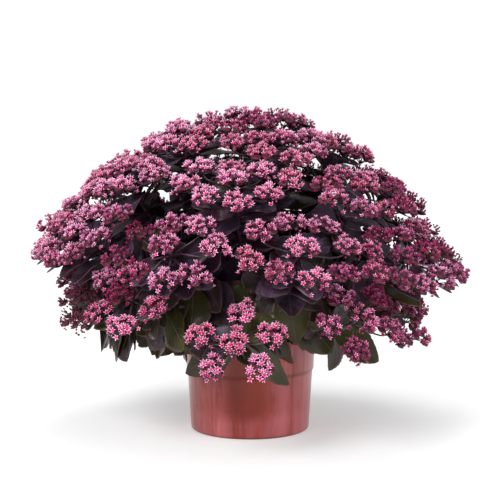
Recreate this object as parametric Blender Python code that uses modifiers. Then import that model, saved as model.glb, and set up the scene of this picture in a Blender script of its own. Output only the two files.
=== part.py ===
"""Potted sedum: a glazed pot of compost, eighteen forked leafy stems and their thirty-six flower heads.

Units are metres and +Z is up. The origin is the centre of the pot's base, and -Y is the front.
A plan of stems, heads and leaves is worked out first, and the solids are then built from it.
Stems and rays are laid as rings of corners, and each leaf, fork or ray grows out of one face of its stem.
"""

import math

import bmesh
import bpy
import numpy as np

NAME = "potted_sedum"
SEED = 31
GAP = 0.0003
UP = np.array((0.0, 0.0, 1.0))

# Pot
POT_HEIGHT = 0.155
BASE_RADIUS = 0.0895
BAND_HEIGHT = 0.091
BAND_RADIUS = 0.0962
BAND_PROUD = 0.0018
RIM_RADIUS = 0.0988
WALL = 0.0062
FLOOR = 0.009
FOOT_ROUND = 0.005
RIM_ROUND = 0.0022
POT_STEPS = 32
DRAIN_HOLES = 4
DRAIN_RADIUS = 0.006
DRAIN_SIDES = 8
DRAIN_CIRCLE = 0.050

# Compost
SOIL_TOP = 0.138
SOIL_DOME = 0.004
STEM_DEPTH = 0.030

# Outline of the dome that the heads lie on
DOME_REACH = 0.316
DOME_RISE = 0.246
DOME_FOOT = 0.070
SIDE_FOOT = 0.130
SIDE_TUCK = 0.15
SIDE_BIAS = 0.2
BELLY_HEIGHT = 0.242
BELLY_TILT = 0.028
DOME_POWER = 1.25

# Stems
OUTER_STEMS = 11
INNER_STEMS = 7
OUTER_CROWN = 0.047
INNER_CROWN = 0.019
STEM_FOOT_RADIUS = 0.0042
STEM_TIP_RADIUS = 0.0027
FORK_SHARE = 0.42
FORK_SPREAD = 0.8
PATH_POINTS = 33
CLEAR_OF_SOIL = 0.008
STRAIGHT_END = 0.006

# Heads: latitude on the dome in degrees, clusters round the middle one, half-width and half-height of the
# plate that they lie on, and radius of a cluster
LOW_HEADS = (-18.0, 5, 0.050, 0.035, 0.0210)
MID_HEADS = (19.0, 8, 0.060, 0.040, 0.0240)
SHOULDER_HEADS = (41.0, 8, 0.060, 0.040, 0.0240)
CROWN_HEADS = (60.0, 7, 0.050, 0.041, 0.0240)
TOP_HEADS = (76.0, 6, 0.043, 0.038, 0.0240)
LOW_STAGGER = 6.0
FRONT_RAISE = 4.0
TOP_AZIMUTHS = (36.0, 252.0)
HEAD_TILT = (60.0, 0.63, 66.0)
HEAD_LENGTH = 0.048
PEDUNCLE_RADIUS = 0.0026
PEDUNCLE_RINGS = ((0.0, 1.0, 1), (0.18, 1.0, 1), (0.29, 1.05, 0), (0.40, 1.0, 1), (0.51, 0.8, 0))
RAY_RADIUS = 0.0014
RAY_SLOTS = {
    5: ((0, 0), (1, 0), (0, 1), (0, 2), (1, 2)),
    6: ((0, 0), (1, 0), (0, 1), (1, 1), (0, 2), (1, 2)),
    7: ((0, 0), (1, 0), (0, 1), (2, 1), (1, 1), (0, 2), (1, 2)),
    8: ((0, 0), (1, 0), (0, 1), (2, 1), (1, 1), (0, 2), (2, 2), (1, 2)),
}
PLATE_SAG = 0.010
CLUSTER_LEAN = 14.0
CLUSTER_SKYWARD = 0.8
CLUSTER_GAP = 0.0006
CLUSTER_SPREAD = 0.0475
SPREAD_STEPS = 40
CLUSTER_SPIN = 0.35
CLUSTER_RISE = 0.0085
LOBES = 5
LOBE_NOTCH = 0.66
NOTCH_DROP = 0.0035
WAIST_DROP = 0.008

# Leaves
NODE_SPACING = 0.048
NODE_HALF = 0.0022
FIRST_NODE = 0.014
LAST_NODE = 0.024
FORK_CLEAR = 0.014
LOW_LEAF = 0.088
HIGH_LEAF = 0.072
LEAF_ASPECT = 0.33
LEAF_RIDGE = 0.0024
LEAF_CLEAR = 0.0046
PETIOLE = (0.11, 0.0032, 0.0016)
FULL_RIM = ((0.25, 0.70), (0.45, 1.0), (0.59, 0.82), (0.77, 0.80))
FULL_RIDGE = (0.38, 0.72)
PLAIN_RIM = ((0.27, 0.78), (0.54, 1.0), (0.80, 0.66))
PLAIN_RIDGE = (0.42, 0.76)
PLAIN_ABOVE = 0.225
BARE_BELOW = 0.34
STALK_BEND = 0.4
LEAF_FALL = -0.25
LEAF_FLOOR = 0.098
SWINGS_TRIED = (0.0, 24.0, -24.0, 46.0, -46.0)
SIZES_TRIED = (1.0, 0.8)

POT_COLOUR = (0.36, 0.085, 0.060, 1.0)
SOIL_COLOUR = (0.045, 0.028, 0.018, 1.0)
LEAF_COLOUR = (0.055, 0.032, 0.052, 1.0)
BLOOM_COLOUR = (0.62, 0.105, 0.235, 1.0)


def draw(*key):
    """A repeatable draw from -1 to 1 for each thing named by its numbers."""
    return float(np.random.default_rng([SEED, *key]).uniform(-1.0, 1.0))


def unit(vector):
    return vector / np.linalg.norm(vector)


def ray_at(azimuth, tilt):
    """The unit vector that leans this far from upright, towards this azimuth, in radians."""
    flat = math.sin(tilt)
    return np.array((flat * math.cos(azimuth), flat * math.sin(azimuth), math.cos(tilt)))


def dome_point(azimuth, latitude):
    """A point of the dome, a little conical above its belly, and tucked in at the sides below it."""
    belly = BELLY_HEIGHT - BELLY_TILT * math.cos(azimuth)
    sideways = math.cos(azimuth) ** 2 * (1.0 - SIDE_BIAS + SIDE_BIAS * math.cos(azimuth))
    flat, climb = math.cos(latitude), math.sin(latitude)
    if latitude > 0.0:
        radius = DOME_REACH * flat**DOME_POWER
        height = belly + (BELLY_HEIGHT + DOME_RISE - belly) * climb**DOME_POWER
    else:
        radius = DOME_REACH * flat * (1.0 - SIDE_TUCK * sideways)
        height = belly + (belly - DOME_FOOT - SIDE_FOOT * sideways) * climb
    return np.array((radius * math.cos(azimuth), radius * math.sin(azimuth), height))


# The plan of the heads


def plan_cluster(number, j, around, axis, half_width, half_height, radius):
    """One cluster, from the middle of its head. The middle one is j = 0, and the others lie on an oval."""
    out = 0.0 if j == 0 else 1.0 + 0.06 * draw(number, 7, j)
    turn = 2.0 * math.pi * (j - 1 + 0.18 * draw(number, 5, j)) / around + 0.5 * draw(number, 6)
    flat = out * (half_width * math.cos(turn) * axis[1] + half_height * math.sin(turn) * axis[2])
    drop = PLATE_SAG * out**2 + 0.004 * (1.0 + draw(number, 8, j))
    facing = axis[0] + CLUSTER_SKYWARD * UP
    if j > 0:
        facing = facing + math.tan(math.radians(CLUSTER_LEAN)) * unit(flat)
    facing = unit(facing)
    return {
        "place": flat - drop * axis[0],
        "facing": facing,
        "across": unit(np.cross(facing, axis[1])),
        "radius": radius * (1.0 + 0.12 * draw(number, 9, j)),
        "spin": CLUSTER_SPIN * draw(number, 10, j),
    }


def plan_head(number, azimuth, ring, raised=0.0):
    """One head: its base, its axis with two directions across it, and its clusters."""
    latitude, around, half_width, half_height, radius = ring
    latitude += raised + 2.0 * draw(number, 1)
    azimuth = math.radians(azimuth + 2.0 * draw(number, 2))
    lean, fall, most = HEAD_TILT
    tilt = math.radians(min(most, lean - fall * latitude) + 4.0 * draw(number, 3))
    middle = dome_point(azimuth, math.radians(latitude))
    up = ray_at(azimuth, tilt)
    across = np.array((-math.sin(azimuth), math.cos(azimuth), 0.0))
    axis = (up, across, np.cross(up, across))
    grow = 1.0 + 0.06 * draw(number, 4)
    plate = (around, axis, grow * half_width, grow * half_height, radius)
    clusters = [plan_cluster(number, j, *plate) for j in range(around + 1)]
    for cluster in clusters:
        cluster["place"] = middle + cluster["place"]
    return {"number": number, "base": middle - HEAD_LENGTH * up, "axis": axis, "clusters": clusters}


def spread_clusters(heads):
    """Pushes close clusters apart on their heads' plates, and trims each to half the way to the nearest."""
    clusters = [cluster for head in heads for cluster in head["clusters"]]
    across, along = (np.array([head["axis"][i] for head in heads for _ in head["clusters"]]) for i in (1, 2))
    home = np.array([cluster["place"] for cluster in clusters])
    places = home.copy()
    for _ in range(SPREAD_STEPS):
        apart = places[:, None] - places[None]
        ways = np.linalg.norm(apart, axis=2)
        near = np.clip(CLUSTER_SPREAD - ways, 0.0, None) * (ways > 0.0) / np.maximum(ways, GAP)
        push = 0.2 * (near[:, :, None] * apart).sum(axis=1) + 0.06 * (home - places)
        for axis in (across, along):
            places += (push * axis).sum(axis=1)[:, None] * axis
    for i, cluster in enumerate(clusters):
        cluster["place"] = places[i]
        nearest = np.linalg.norm(np.delete(places, i, axis=0) - places[i], axis=1).min()
        cluster["radius"] = min(cluster["radius"], 0.5 * nearest - CLUSTER_GAP)


# The plan of the stems


def bezier(ends, handles, shares):
    """Points of a cubic curve between two ends, with two handles."""
    t = np.asarray(shares, float)[:, None]
    s = 1.0 - t
    return s**3 * ends[0] + 3 * s * s * t * handles[0] + 3 * s * t * t * handles[1] + t**3 * ends[1]


def measured(points, plane, radii):
    """A path with its lengths, the normal of the plane it bends in, its end radii and its leaf nodes."""
    steps = np.linalg.norm(np.diff(points, axis=0), axis=1)
    return {
        "points": points,
        "lengths": np.concatenate(((0.0,), np.cumsum(steps))),
        "plane": plane,
        "radii": radii,
        "twist": 0.0,
        "nodes": [],
    }


def station(path, length):
    """The place, heading and two side directions at a length along a path, and the radius there."""
    lengths = path["lengths"]
    length = min(max(length, 0.0), lengths[-1])
    place = np.array([np.interp(length, lengths, path["points"][:, i]) for i in range(3)])
    piece = min(max(int(np.searchsorted(lengths, length)), 1), len(lengths) - 1)
    heading = unit(path["points"][piece] - path["points"][piece - 1])
    side = unit(path["plane"] - np.dot(path["plane"], heading) * heading)
    share = length / lengths[-1]
    radius = path["radii"][0] * (1.0 - share) + path["radii"][1] * share
    return place, heading, side, np.cross(heading, side), radius


def plan_stem(number, azimuth, crown, main_head, side_head):
    """One stem: a main path from the crown to one head, and a branch from its fork to another."""
    azimuth = math.radians(azimuth)
    foot = np.array((crown * math.cos(azimuth), crown * math.sin(azimuth), SOIL_TOP - STEM_DEPTH))
    start = foot + (STEM_DEPTH + CLEAR_OF_SOIL) * UP
    shares = np.linspace(0.0, 1.0, PATH_POINTS)

    tip = main_head["base"] - GAP * main_head["axis"][0]
    neck = tip - STRAIGHT_END * main_head["axis"][0]
    reach = np.linalg.norm(neck - start)
    leaving = unit(UP + 0.35 * ray_at(azimuth, 0.5 * math.pi))
    handles = (start + 0.42 * reach * leaving, neck - 0.36 * reach * main_head["axis"][0])
    points = np.vstack((foot, bezier((start, neck), handles, shares), tip))
    plane = unit(np.cross(UP, neck - start))
    main = measured(points, plane, (STEM_FOOT_RADIUS, STEM_TIP_RADIUS))

    fork = FORK_SHARE * main["lengths"][-1]
    place, heading, side, other, radius = station(main, fork)
    side_tip = side_head["base"] - GAP * side_head["axis"][0]
    side_neck = side_tip - STRAIGHT_END * side_head["axis"][0]
    way = side_neck - place
    out = unit(way - np.dot(way, heading) * heading)
    main["twist"] = math.atan2(np.dot(out, other), np.dot(out, side))
    side_reach = np.linalg.norm(way)
    leaving = unit(heading + FORK_SPREAD * out)
    begin = place + 0.7 * radius * out
    side_handles = (begin + 0.33 * side_reach * leaving, side_neck - 0.36 * side_reach * side_head["axis"][0])
    points = np.vstack((bezier((begin, side_neck), side_handles, shares), side_tip))
    branch = measured(points, unit(np.cross(heading, out)), (radius, STEM_TIP_RADIUS))
    return {"number": number, "paths": (main, branch), "fork": fork, "heads": (main_head, side_head)}


def plan_stems():
    """Outer stems carry a middle and a low head each, inner ones a crown or top head and a shoulder head."""
    stems = []
    for k in range(OUTER_STEMS):
        azimuth = 360.0 * k / OUTER_STEMS + 4.0
        raised = LOW_STAGGER * (1 if k % 2 else -1) + FRONT_RAISE * max(0.0, -math.sin(math.radians(azimuth)))
        low = plan_head(2 * k, azimuth, LOW_HEADS, raised)
        middle = plan_head(2 * k + 1, azimuth + 180.0 / OUTER_STEMS, MID_HEADS)
        stems.append(plan_stem(k, azimuth + 90.0 / OUTER_STEMS, OUTER_CROWN, middle, low))
    crowns = [(72.0 * k, CROWN_HEADS) for k in range(5)]
    crowns[2:2] = [(TOP_AZIMUTHS[0], TOP_HEADS)]
    crowns.append((TOP_AZIMUTHS[1], TOP_HEADS))
    for k, (azimuth, ring) in enumerate(crowns):
        number = OUTER_STEMS + k
        around = 360.0 * k / INNER_STEMS + 8.0
        upper = plan_head(2 * number, azimuth, ring)
        shoulder = plan_head(2 * number + 1, around, SHOULDER_HEADS)
        stems.append(plan_stem(number, around, INNER_CROWN, upper, shoulder))
    spread_clusters([head for stem in stems for head in stem["heads"]])
    return stems


# The plan of the leaves. What stands in the way is held as balls: rows of x, y, z and radius.


def balls(points, radius):
    points = np.atleast_2d(points)
    return np.column_stack((points, np.full(len(points), radius)))


def head_balls(head):
    up = head["axis"][0]
    rows = [balls(head["base"] + np.outer(np.linspace(0.0, 0.56, 6), HEAD_LENGTH * up), LEAF_CLEAR)]
    hub = head["base"] + 0.4 * HEAD_LENGTH * up
    for cluster in head["clusters"]:
        rows.append(balls(hub + np.outer(np.linspace(0.1, 0.9, 7), cluster["place"] - hub), 0.004))
        turns = np.radians(np.arange(0.0, 360.0, 45.0))[:, None]
        other = np.cross(cluster["facing"], cluster["across"])
        circle = np.cos(turns) * cluster["across"] + np.sin(turns) * other
        around = cluster["place"] + 0.72 * cluster["radius"] * circle
        rows.append(balls(around, 0.3 * cluster["radius"] + 0.003))
        rows.append(balls(cluster["place"], 0.5 * cluster["radius"]))
    return np.vstack(rows)


def path_balls(path):
    stops = np.arange(0.0, path["lengths"][-1], 0.006)
    points = np.column_stack([np.interp(stops, path["lengths"], path["points"][:, i]) for i in range(3)])
    return balls(points, LEAF_CLEAR)


def clear(rows, taken):
    """True if no ball of rows meets a ball that is taken."""
    middle = rows[:, :3].mean(axis=0)
    reach = np.linalg.norm(rows[:, :3] - middle, axis=1).max() + rows[:, 3].max()
    near = taken[np.linalg.norm(taken[:, :3] - middle, axis=1) < reach + taken[:, 3]]
    apart = np.linalg.norm(rows[:, None, :3] - near[None, :, :3], axis=2)
    return not (apart < rows[:, None, 3] + near[None, :, 3]).any()


def clears_pot(rows):
    """True if the blade is above the pot, or hangs outside it, and doesn't hang too low."""
    inside = np.hypot(rows[:, 0], rows[:, 1]) < RIM_RADIUS + 0.007
    return not (inside & (rows[:, 2] < POT_HEIGHT + 0.006)).any() and rows[:, 2].min() > LEAF_FLOOR


def plan_leaf(path, length, face, swing, lift, droop, size):
    """A leaf on one face of a stem, swung to a side, lifted towards the stem's tip and then drooping."""
    place, heading, side, other, radius = station(path, length)
    turn = path["twist"] + face * 0.5 * math.pi
    square = math.cos(turn) * side + math.sin(turn) * other
    out = math.cos(turn + swing) * side + math.sin(turn + swing) * other
    axis = math.cos(lift) * out + math.sin(lift) * heading
    across = np.cross(heading, out)
    axis[2] = max(axis[2], LEAF_FALL)
    axis = unit(axis)
    return {
        "base": place + 0.7 * radius * square,
        "axis": axis,
        "side": unit(across - np.dot(across, axis) * axis),
        "square": square,
        "droop": droop,
        "length": size,
        "plain": place[2] > PLAIN_ABOVE,
    }


def leaf_points(leaf, along, across, raised=0.0):
    """Points of the blade at shares of its length, and at distances across it and above it."""
    along = np.asarray(along, float)[:, None]
    spine = leaf["base"] + leaf["length"] * (along * leaf["axis"] - leaf["droop"] * along**2 * UP)
    heading = leaf["axis"] - 2.0 * leaf["droop"] * along * UP
    normal = np.cross(heading, leaf["side"])
    normal /= np.linalg.norm(normal, axis=1)[:, None]
    across = np.asarray(across, float)[:, None]
    return spine + across * leaf["side"] + np.asarray(raised, float).reshape(-1, 1) * normal


def leaf_balls(leaf):
    along, across = np.meshgrid(np.linspace(0.2, 1.0, 13), np.linspace(-0.95, 0.95, 9))
    widths = LEAF_ASPECT * leaf["length"] * np.sin(math.pi * np.clip(along, 0.0, 0.97)) ** 0.6
    return balls(leaf_points(leaf, along.ravel(), (across * widths).ravel()), LEAF_CLEAR)


def would_last(leaf):
    """False for a stalk bent too far from its face, and for a leaf that points inwards deep in the plant."""
    base, axis = leaf["base"], leaf["axis"]
    inward = np.dot(base[:2], axis[:2]) < -0.2 * math.hypot(base[0], base[1])
    return np.dot(axis, leaf["square"]) > STALK_BEND and not (inward and base[2] < BARE_BELOW)


def fitted_leaf(key, path, length, face, taken):
    """The first leaf that clears all that is there, as it is swung and then made smaller. Else none."""
    point = station(path, length)[0]
    height = (point[2] - SOIL_TOP) / (BELLY_HEIGHT + DOME_RISE - SOIL_TOP)
    reach = math.hypot(point[0], point[1]) / DOME_REACH
    size = (LOW_LEAF + (HIGH_LEAF - LOW_LEAF) * min(1.0, max(height, reach))) * (1.0 + 0.08 * draw(*key, 14))
    lift = math.radians(26.0 + 8.0 * draw(*key, 11))
    droop = 0.28 + 0.08 * draw(*key, 12)
    for scale in SIZES_TRIED:
        for swing in SWINGS_TRIED:
            leaf = plan_leaf(path, length, face, math.radians(swing), lift, droop, scale * size)
            rows = leaf_balls(leaf)
            if would_last(leaf) and clears_pot(rows) and clear(rows, taken):
                return leaf, rows
    return None, None


def plan_leaves(stems):
    """Pairs of leaves up each stem, every pair a quarter turn on from the last, wherever there is room."""
    heads = [head_balls(head) for stem in stems for head in stem["heads"]]
    taken = np.vstack(heads + [path_balls(path) for stem in stems for path in stem["paths"]])
    for stem in stems:
        for part, path in enumerate(stem["paths"]):
            first = FIRST_NODE + (0.0 if part else STEM_DEPTH + CLEAR_OF_SOIL)
            stops = np.arange(first, path["lengths"][-1] - LAST_NODE, NODE_SPACING)
            for k, length in enumerate(stops):
                if part == 0 and abs(length - stem["fork"]) < FORK_CLEAR:
                    length = stem["fork"] + math.copysign(FORK_CLEAR, length - stem["fork"])
                leaves = {}
                for face in (k % 2, k % 2 + 2):
                    leaf, rows = fitted_leaf((stem["number"], part, k, face), path, length, face, taken)
                    if leaf:
                        leaves[face] = leaf
                        taken = np.vstack((taken, rows))
                path["nodes"].append((length, leaves))


# Modelling


def clear_scene():
    for obj in list(bpy.data.objects):
        bpy.data.objects.remove(obj)


def collection(name, parent=None):
    made = bpy.data.collections.new(name)
    (parent or bpy.context.scene.collection).children.link(made)
    return made


def material(name, colour, roughness):
    made = bpy.data.materials.new(name)
    made.use_nodes = True
    shader = made.node_tree.nodes["Principled BSDF"]
    shader.inputs["Base Color"].default_value = colour
    shader.inputs["Roughness"].default_value = roughness
    made.diffuse_color = colour
    return made


def mesh_object(name, bm, where):
    """An object from a closed bmesh, turned right side out. The bmesh is freed."""
    bmesh.ops.recalc_face_normals(bm, faces=bm.faces)
    if bm.calc_volume(signed=True) < 0.0:
        bmesh.ops.reverse_faces(bm, faces=bm.faces)
    mesh = bpy.data.meshes.new(name)
    bm.to_mesh(mesh)
    bm.free()
    obj = bpy.data.objects.new(name, mesh)
    where.objects.link(obj)
    return obj


def applied(obj):
    """Applies the object's modifiers to its mesh."""
    graph = bpy.context.evaluated_depsgraph_get()
    mesh = bpy.data.meshes.new_from_object(obj.evaluated_get(graph))
    obj.modifiers.clear()
    obj.data = mesh
    return obj


def turned(name, profile, where):
    """A turned solid from a profile of (radius, height), which runs down its outer side."""
    mesh = bpy.data.meshes.new(name)
    mesh.from_pydata([(r, 0.0, z) for r, z in profile], [(i, i + 1) for i in range(len(profile) - 1)], [])
    obj = bpy.data.objects.new(name, mesh)
    where.objects.link(obj)
    screw = obj.modifiers.new("Turn", "SCREW")
    screw.steps = screw.render_steps = POT_STEPS
    screw.use_merge_vertices = True
    screw.merge_threshold = 0.00005
    return applied(obj)


def prism(name, corners, low, high, where):
    """An upright prism on a flat polygon of corners."""
    bm = bmesh.new()
    rings = [[bm.verts.new((x, y, z)) for x, y in corners] for z in (low, high)]
    bridge(bm, *rings)
    for ring in rings:
        bm.faces.new(ring)
    return mesh_object(name, bm, where)


def cut(obj, cutters, tools):
    """Cuts all the cutters, which are in the tools collection, out of the object, and removes them."""
    for cutter in cutters:
        cutter.hide_render = True
        cutter.display_type = "WIRE"
    bore = obj.modifiers.new("Cut", "BOOLEAN")
    bore.operation = "DIFFERENCE"
    bore.operand_type = "COLLECTION"
    bore.collection = tools
    bore.solver = "EXACT"
    bpy.context.view_layer.update()
    applied(obj)
    for cutter in cutters:
        bpy.data.objects.remove(cutter)
    bpy.data.collections.remove(tools)
    return obj


def bridge(bm, first, second, openings=()):
    """Faces between two rings of as many corners, matched where they are nearest. It returns the openings."""
    count = len(first)
    spans = []
    for k in range(count):
        spans.append(sum((first[i].co - second[(i + k) % count].co).length for i in range(count)))
    turn = spans.index(min(spans))
    left_out = {}
    for i in range(count):
        j = (i + 1) % count
        corners = [first[i], first[j], second[(j + turn) % count], second[(i + turn) % count]]
        if i in openings:
            left_out[i] = corners
        else:
            bm.faces.new(corners)
    return left_out


def zip_chains(bm, first, second, ring=False):
    """Triangles between two chains of (share, vertex), which step on wherever the next share is lower."""
    if ring:
        first = first + [(1.0 + first[0][0], first[0][1])]
        second = second + [(1.0 + second[0][0], second[0][1])]
    i = j = 0
    while i < len(first) - 1 or j < len(second) - 1:
        step_first = j == len(second) - 1 or (i < len(first) - 1 and first[i + 1][0] <= second[j + 1][0])
        corners = [first[i][1], second[j][1]]
        if step_first:
            i += 1
            corners.append(first[i][1])
        else:
            j += 1
            corners.append(second[j][1])
        if len(set(corners)) == 3:
            bm.faces.new(corners)


def ring_corners(place, side, other, radius, count, turn):
    """Corners of a ring, the first of them at this turn from the side direction."""
    angles = turn + 2.0 * math.pi * np.arange(count)[:, None] / count
    return place + radius * (np.cos(angles) * side + np.sin(angles) * other)


def make_pot(where):
    inner_rim = RIM_RADIUS - WALL
    profile = [
        (0.0, FLOOR),
        (BASE_RADIUS - WALL, FLOOR),
        (inner_rim, POT_HEIGHT - RIM_ROUND),
        (inner_rim + RIM_ROUND, POT_HEIGHT),
        (RIM_RADIUS - RIM_ROUND, POT_HEIGHT),
        (RIM_RADIUS, POT_HEIGHT - RIM_ROUND),
        (BAND_RADIUS, BAND_HEIGHT + 0.0015),
        (BAND_RADIUS - BAND_PROUD, BAND_HEIGHT),
        (BASE_RADIUS, FOOT_ROUND),
        (BASE_RADIUS - 0.3 * FOOT_ROUND, 0.3 * FOOT_ROUND),
        (BASE_RADIUS - FOOT_ROUND, 0.0),
        (0.0, 0.0),
    ]
    pot = turned("pot", profile, where)
    tools = collection("drain_cutters")
    holes = []
    for k in range(DRAIN_HOLES):
        around = 2.0 * math.pi * (k + 0.5) / DRAIN_HOLES
        middle = DRAIN_CIRCLE * np.array((math.cos(around), math.sin(around)))
        side, other = np.eye(2)
        corners = ring_corners(middle, side, other, DRAIN_RADIUS, DRAIN_SIDES, 0.0)
        holes.append(prism(f"drain_{k}", corners, -FLOOR, 2.0 * FLOOR, tools))
    return cut(pot, holes, tools)


def inner_radius(height):
    """The pot's inside radius at a height above its floor."""
    share = (height - FLOOR) / (POT_HEIGHT - RIM_ROUND - FLOOR)
    return (BASE_RADIUS - WALL) * (1.0 - share) + (RIM_RADIUS - WALL) * share


def make_soil(stems, where):
    edge = inner_radius(SOIL_TOP - SOIL_DOME) - GAP
    profile = [
        (0.0, SOIL_TOP + SOIL_DOME),
        (0.75 * edge, SOIL_TOP),
        (edge, SOIL_TOP - SOIL_DOME),
        (BASE_RADIUS - WALL - GAP, FLOOR + GAP),
        (0.0, FLOOR + GAP),
    ]
    soil = turned("soil", profile, where)
    tools = collection("hole_cutters")
    holes = []
    for stem in stems:
        main = stem["paths"][0]
        place, _, side, other, radius = station(main, 0.0)
        wide = radius + 1.42 * GAP
        corners = ring_corners(place, side, other, wide, 4, main["twist"] + 0.25 * math.pi)
        holes.append(prism(f"hole_{stem['number']}", corners[:, :2], place[2] - GAP, POT_HEIGHT, tools))
    return cut(soil, holes, tools)


def lay_leaf(bm, leaf, corners):
    """A blade with two toothed rims, a ridge above and a flat underside, from the four corners of a face."""
    stations, ridges = (PLAIN_RIM, PLAIN_RIDGE) if leaf["plain"] else (FULL_RIM, FULL_RIDGE)
    half = LEAF_ASPECT * leaf["length"]
    share, stalk_half, stalk_high = PETIOLE
    shares = [share] + [s for s, _ in stations]
    tip = bm.verts.new(leaf_points(leaf, [1.0], [0.0])[0])
    rims = []
    for hand in (-1.0, 1.0):
        widths = [hand * stalk_half] + [hand * half * w for _, w in stations]
        places = leaf_points(leaf, shares, widths)
        rims.append([(s, bm.verts.new(p)) for s, p in zip(shares, places)] + [(1.0, tip)])
    shares = [share, *ridges]
    places = leaf_points(leaf, shares, np.zeros(len(shares)), [stalk_high] + [LEAF_RIDGE] * len(ridges))
    ridge = [(s, bm.verts.new(p)) for s, p in zip(shares, places)] + [(1.0, tip)]
    right, left = rims
    zip_chains(bm, left, ridge)
    zip_chains(bm, ridge, right)
    zip_chains(bm, right, left)
    low_right, low_left, high_left, high_right = corners
    bm.faces.new((low_right, low_left, left[0][1], right[0][1]))
    bm.faces.new((low_left, high_left, left[0][1]))
    bm.faces.new((high_left, ridge[0][1], left[0][1]))
    bm.faces.new((high_left, high_right, ridge[0][1]))
    bm.faces.new((high_right, right[0][1], ridge[0][1]))
    bm.faces.new((high_right, low_right, right[0][1]))


def lay_path(bm, path, rings, stops):
    """Four-sided rings along a path. Each stop is a length, with the openings of the faces that end there."""
    left_out = []
    for length, openings in stops:
        place, _, side, other, radius = station(path, length)
        corners = ring_corners(place, side, other, radius, 4, path["twist"] - 0.25 * math.pi)
        rings.append([bm.verts.new(c) for c in corners])
        if len(rings) > 1:
            left_out.append(bridge(bm, rings[-2], rings[-1], openings))
    bm.faces.new(rings[-1])
    return left_out


def path_stops(path, first, fork=None):
    """The stops of a path: its ends, a pair round each leaf node and its fork, and one at a bare node."""
    openings = [(length, tuple(leaves)) for length, leaves in path["nodes"]]
    if fork is not None:
        openings.append((fork, (0,)))
    stops = [(length, ()) for length in first]
    for length, faces in sorted(openings):
        if faces:
            half = NODE_HALF * (2.0 if length == fork else 1.0)
            stops += [(length - half, ()), (length + half, faces)]
        else:
            stops.append((length, ()))
    end = path["lengths"][-1]
    return stops + [(end - STRAIGHT_END, ()), (end, ())]


def lay_leaves(bm, path, left_out):
    """The leaves of a path, in order, in the openings that were left for them."""
    leaves = [leaves for _, leaves in path["nodes"] if leaves]
    for node, corners in zip(leaves, left_out):
        for face, leaf in node.items():
            lay_leaf(bm, leaf, corners[face])


def make_stem(stem, where):
    """A leafy stem: its main path, and its branch from a face at the fork, with all their leaves."""
    bm = bmesh.new()
    main, branch = stem["paths"]
    rings = []
    stops = path_stops(main, (0.0, STEM_DEPTH + CLEAR_OF_SOIL), stem["fork"])
    left_out = [o for o in lay_path(bm, main, rings, stops) if o]
    bm.faces.new(rings[0])
    before = sum(1 for length, leaves in main["nodes"] if leaves and length < stem["fork"])
    fork_face = left_out.pop(before)[0]
    lay_leaves(bm, main, left_out)
    left_out = [o for o in lay_path(bm, branch, [fork_face], path_stops(branch, ())) if o]
    lay_leaves(bm, branch, left_out)
    return mesh_object(f"stem_{stem['number'] + 1:02d}", bm, where)


def lay_cluster(bm, cluster, root):
    """A ray from three corners up to a waist, and on it a shallow star dome."""
    facing, radius = cluster["facing"], cluster["radius"]
    waist = cluster["place"] - WAIST_DROP * facing
    middle = np.mean([vertex.co for vertex in root], axis=0)
    lean = unit(unit(waist - middle) + facing)
    side = np.array(root[0].co) - middle
    side = unit(side - np.dot(side, lean) * lean)
    neck = [bm.verts.new(c) for c in ring_corners(waist, side, np.cross(lean, side), RAY_RADIUS, 3, 0.0)]
    bridge(bm, root, neck)
    across = unit(side - np.dot(side, facing) * facing)
    corners = ring_corners(0.0 * facing, across, np.cross(facing, across), radius, 2 * LOBES, cluster["spin"])
    rim = []
    for k, corner in enumerate(corners):
        notch = k % 2
        place = cluster["place"] + (LOBE_NOTCH if notch else 1.0) * corner - notch * NOTCH_DROP * facing
        rim.append((k / (2 * LOBES), bm.verts.new(place)))
    zip_chains(bm, [(k / 3, v) for k, v in enumerate(neck)], rim, ring=True)
    top = bm.verts.new(cluster["place"] + CLUSTER_RISE * facing)
    for (_, a), (_, b) in zip(rim, rim[1:] + rim[:1]):
        bm.faces.new((a, b, top))


def make_head(head, where):
    """A flower head: a peduncle of three-cornered rings, whose faces open into the rays of its clusters."""
    bm = bmesh.new()
    up, across, along = head["axis"]
    first = head["clusters"][1]["place"] - head["base"]
    start = math.atan2(np.dot(first, along), np.dot(first, across))
    slots = RAY_SLOTS[len(head["clusters"]) - 1]
    levels = 1 + max(level for level, _ in slots)
    rings = []
    for share, scale, turned_on in PEDUNCLE_RINGS[: levels + 2]:
        place = head["base"] + share * HEAD_LENGTH * up
        turn = start + math.pi * turned_on / 3.0
        corners = ring_corners(place, across, along, scale * PEDUNCLE_RADIUS, 3, turn)
        rings.append([bm.verts.new(c) for c in corners])
    bm.faces.new(rings[0])
    bridge(bm, rings[0], rings[1])
    for level in range(levels):
        low, high = rings[level + 1 : level + 3]
        odd = level % 2
        for k in range(3):
            upward = (low[k - 1 + odd], low[(k + odd) % 3], high[k])
            downward = (high[k - odd], low[k], high[(k + 1 - odd) % 3])
            bm.faces.new(downward)
            if (level, k) in slots:
                lay_cluster(bm, head["clusters"][1 + slots.index((level, k))], upward)
            else:
                bm.faces.new(upward)
    lay_cluster(bm, head["clusters"][0], rings[-1])
    return mesh_object(f"head_{head['number'] + 1:02d}", bm, where)


def paint(obj, finish):
    obj.data.materials.clear()
    obj.data.materials.append(finish)
    obj.data.shade_smooth()
    obj.data.set_sharp_from_angle(angle=math.radians(32.0))


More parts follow.
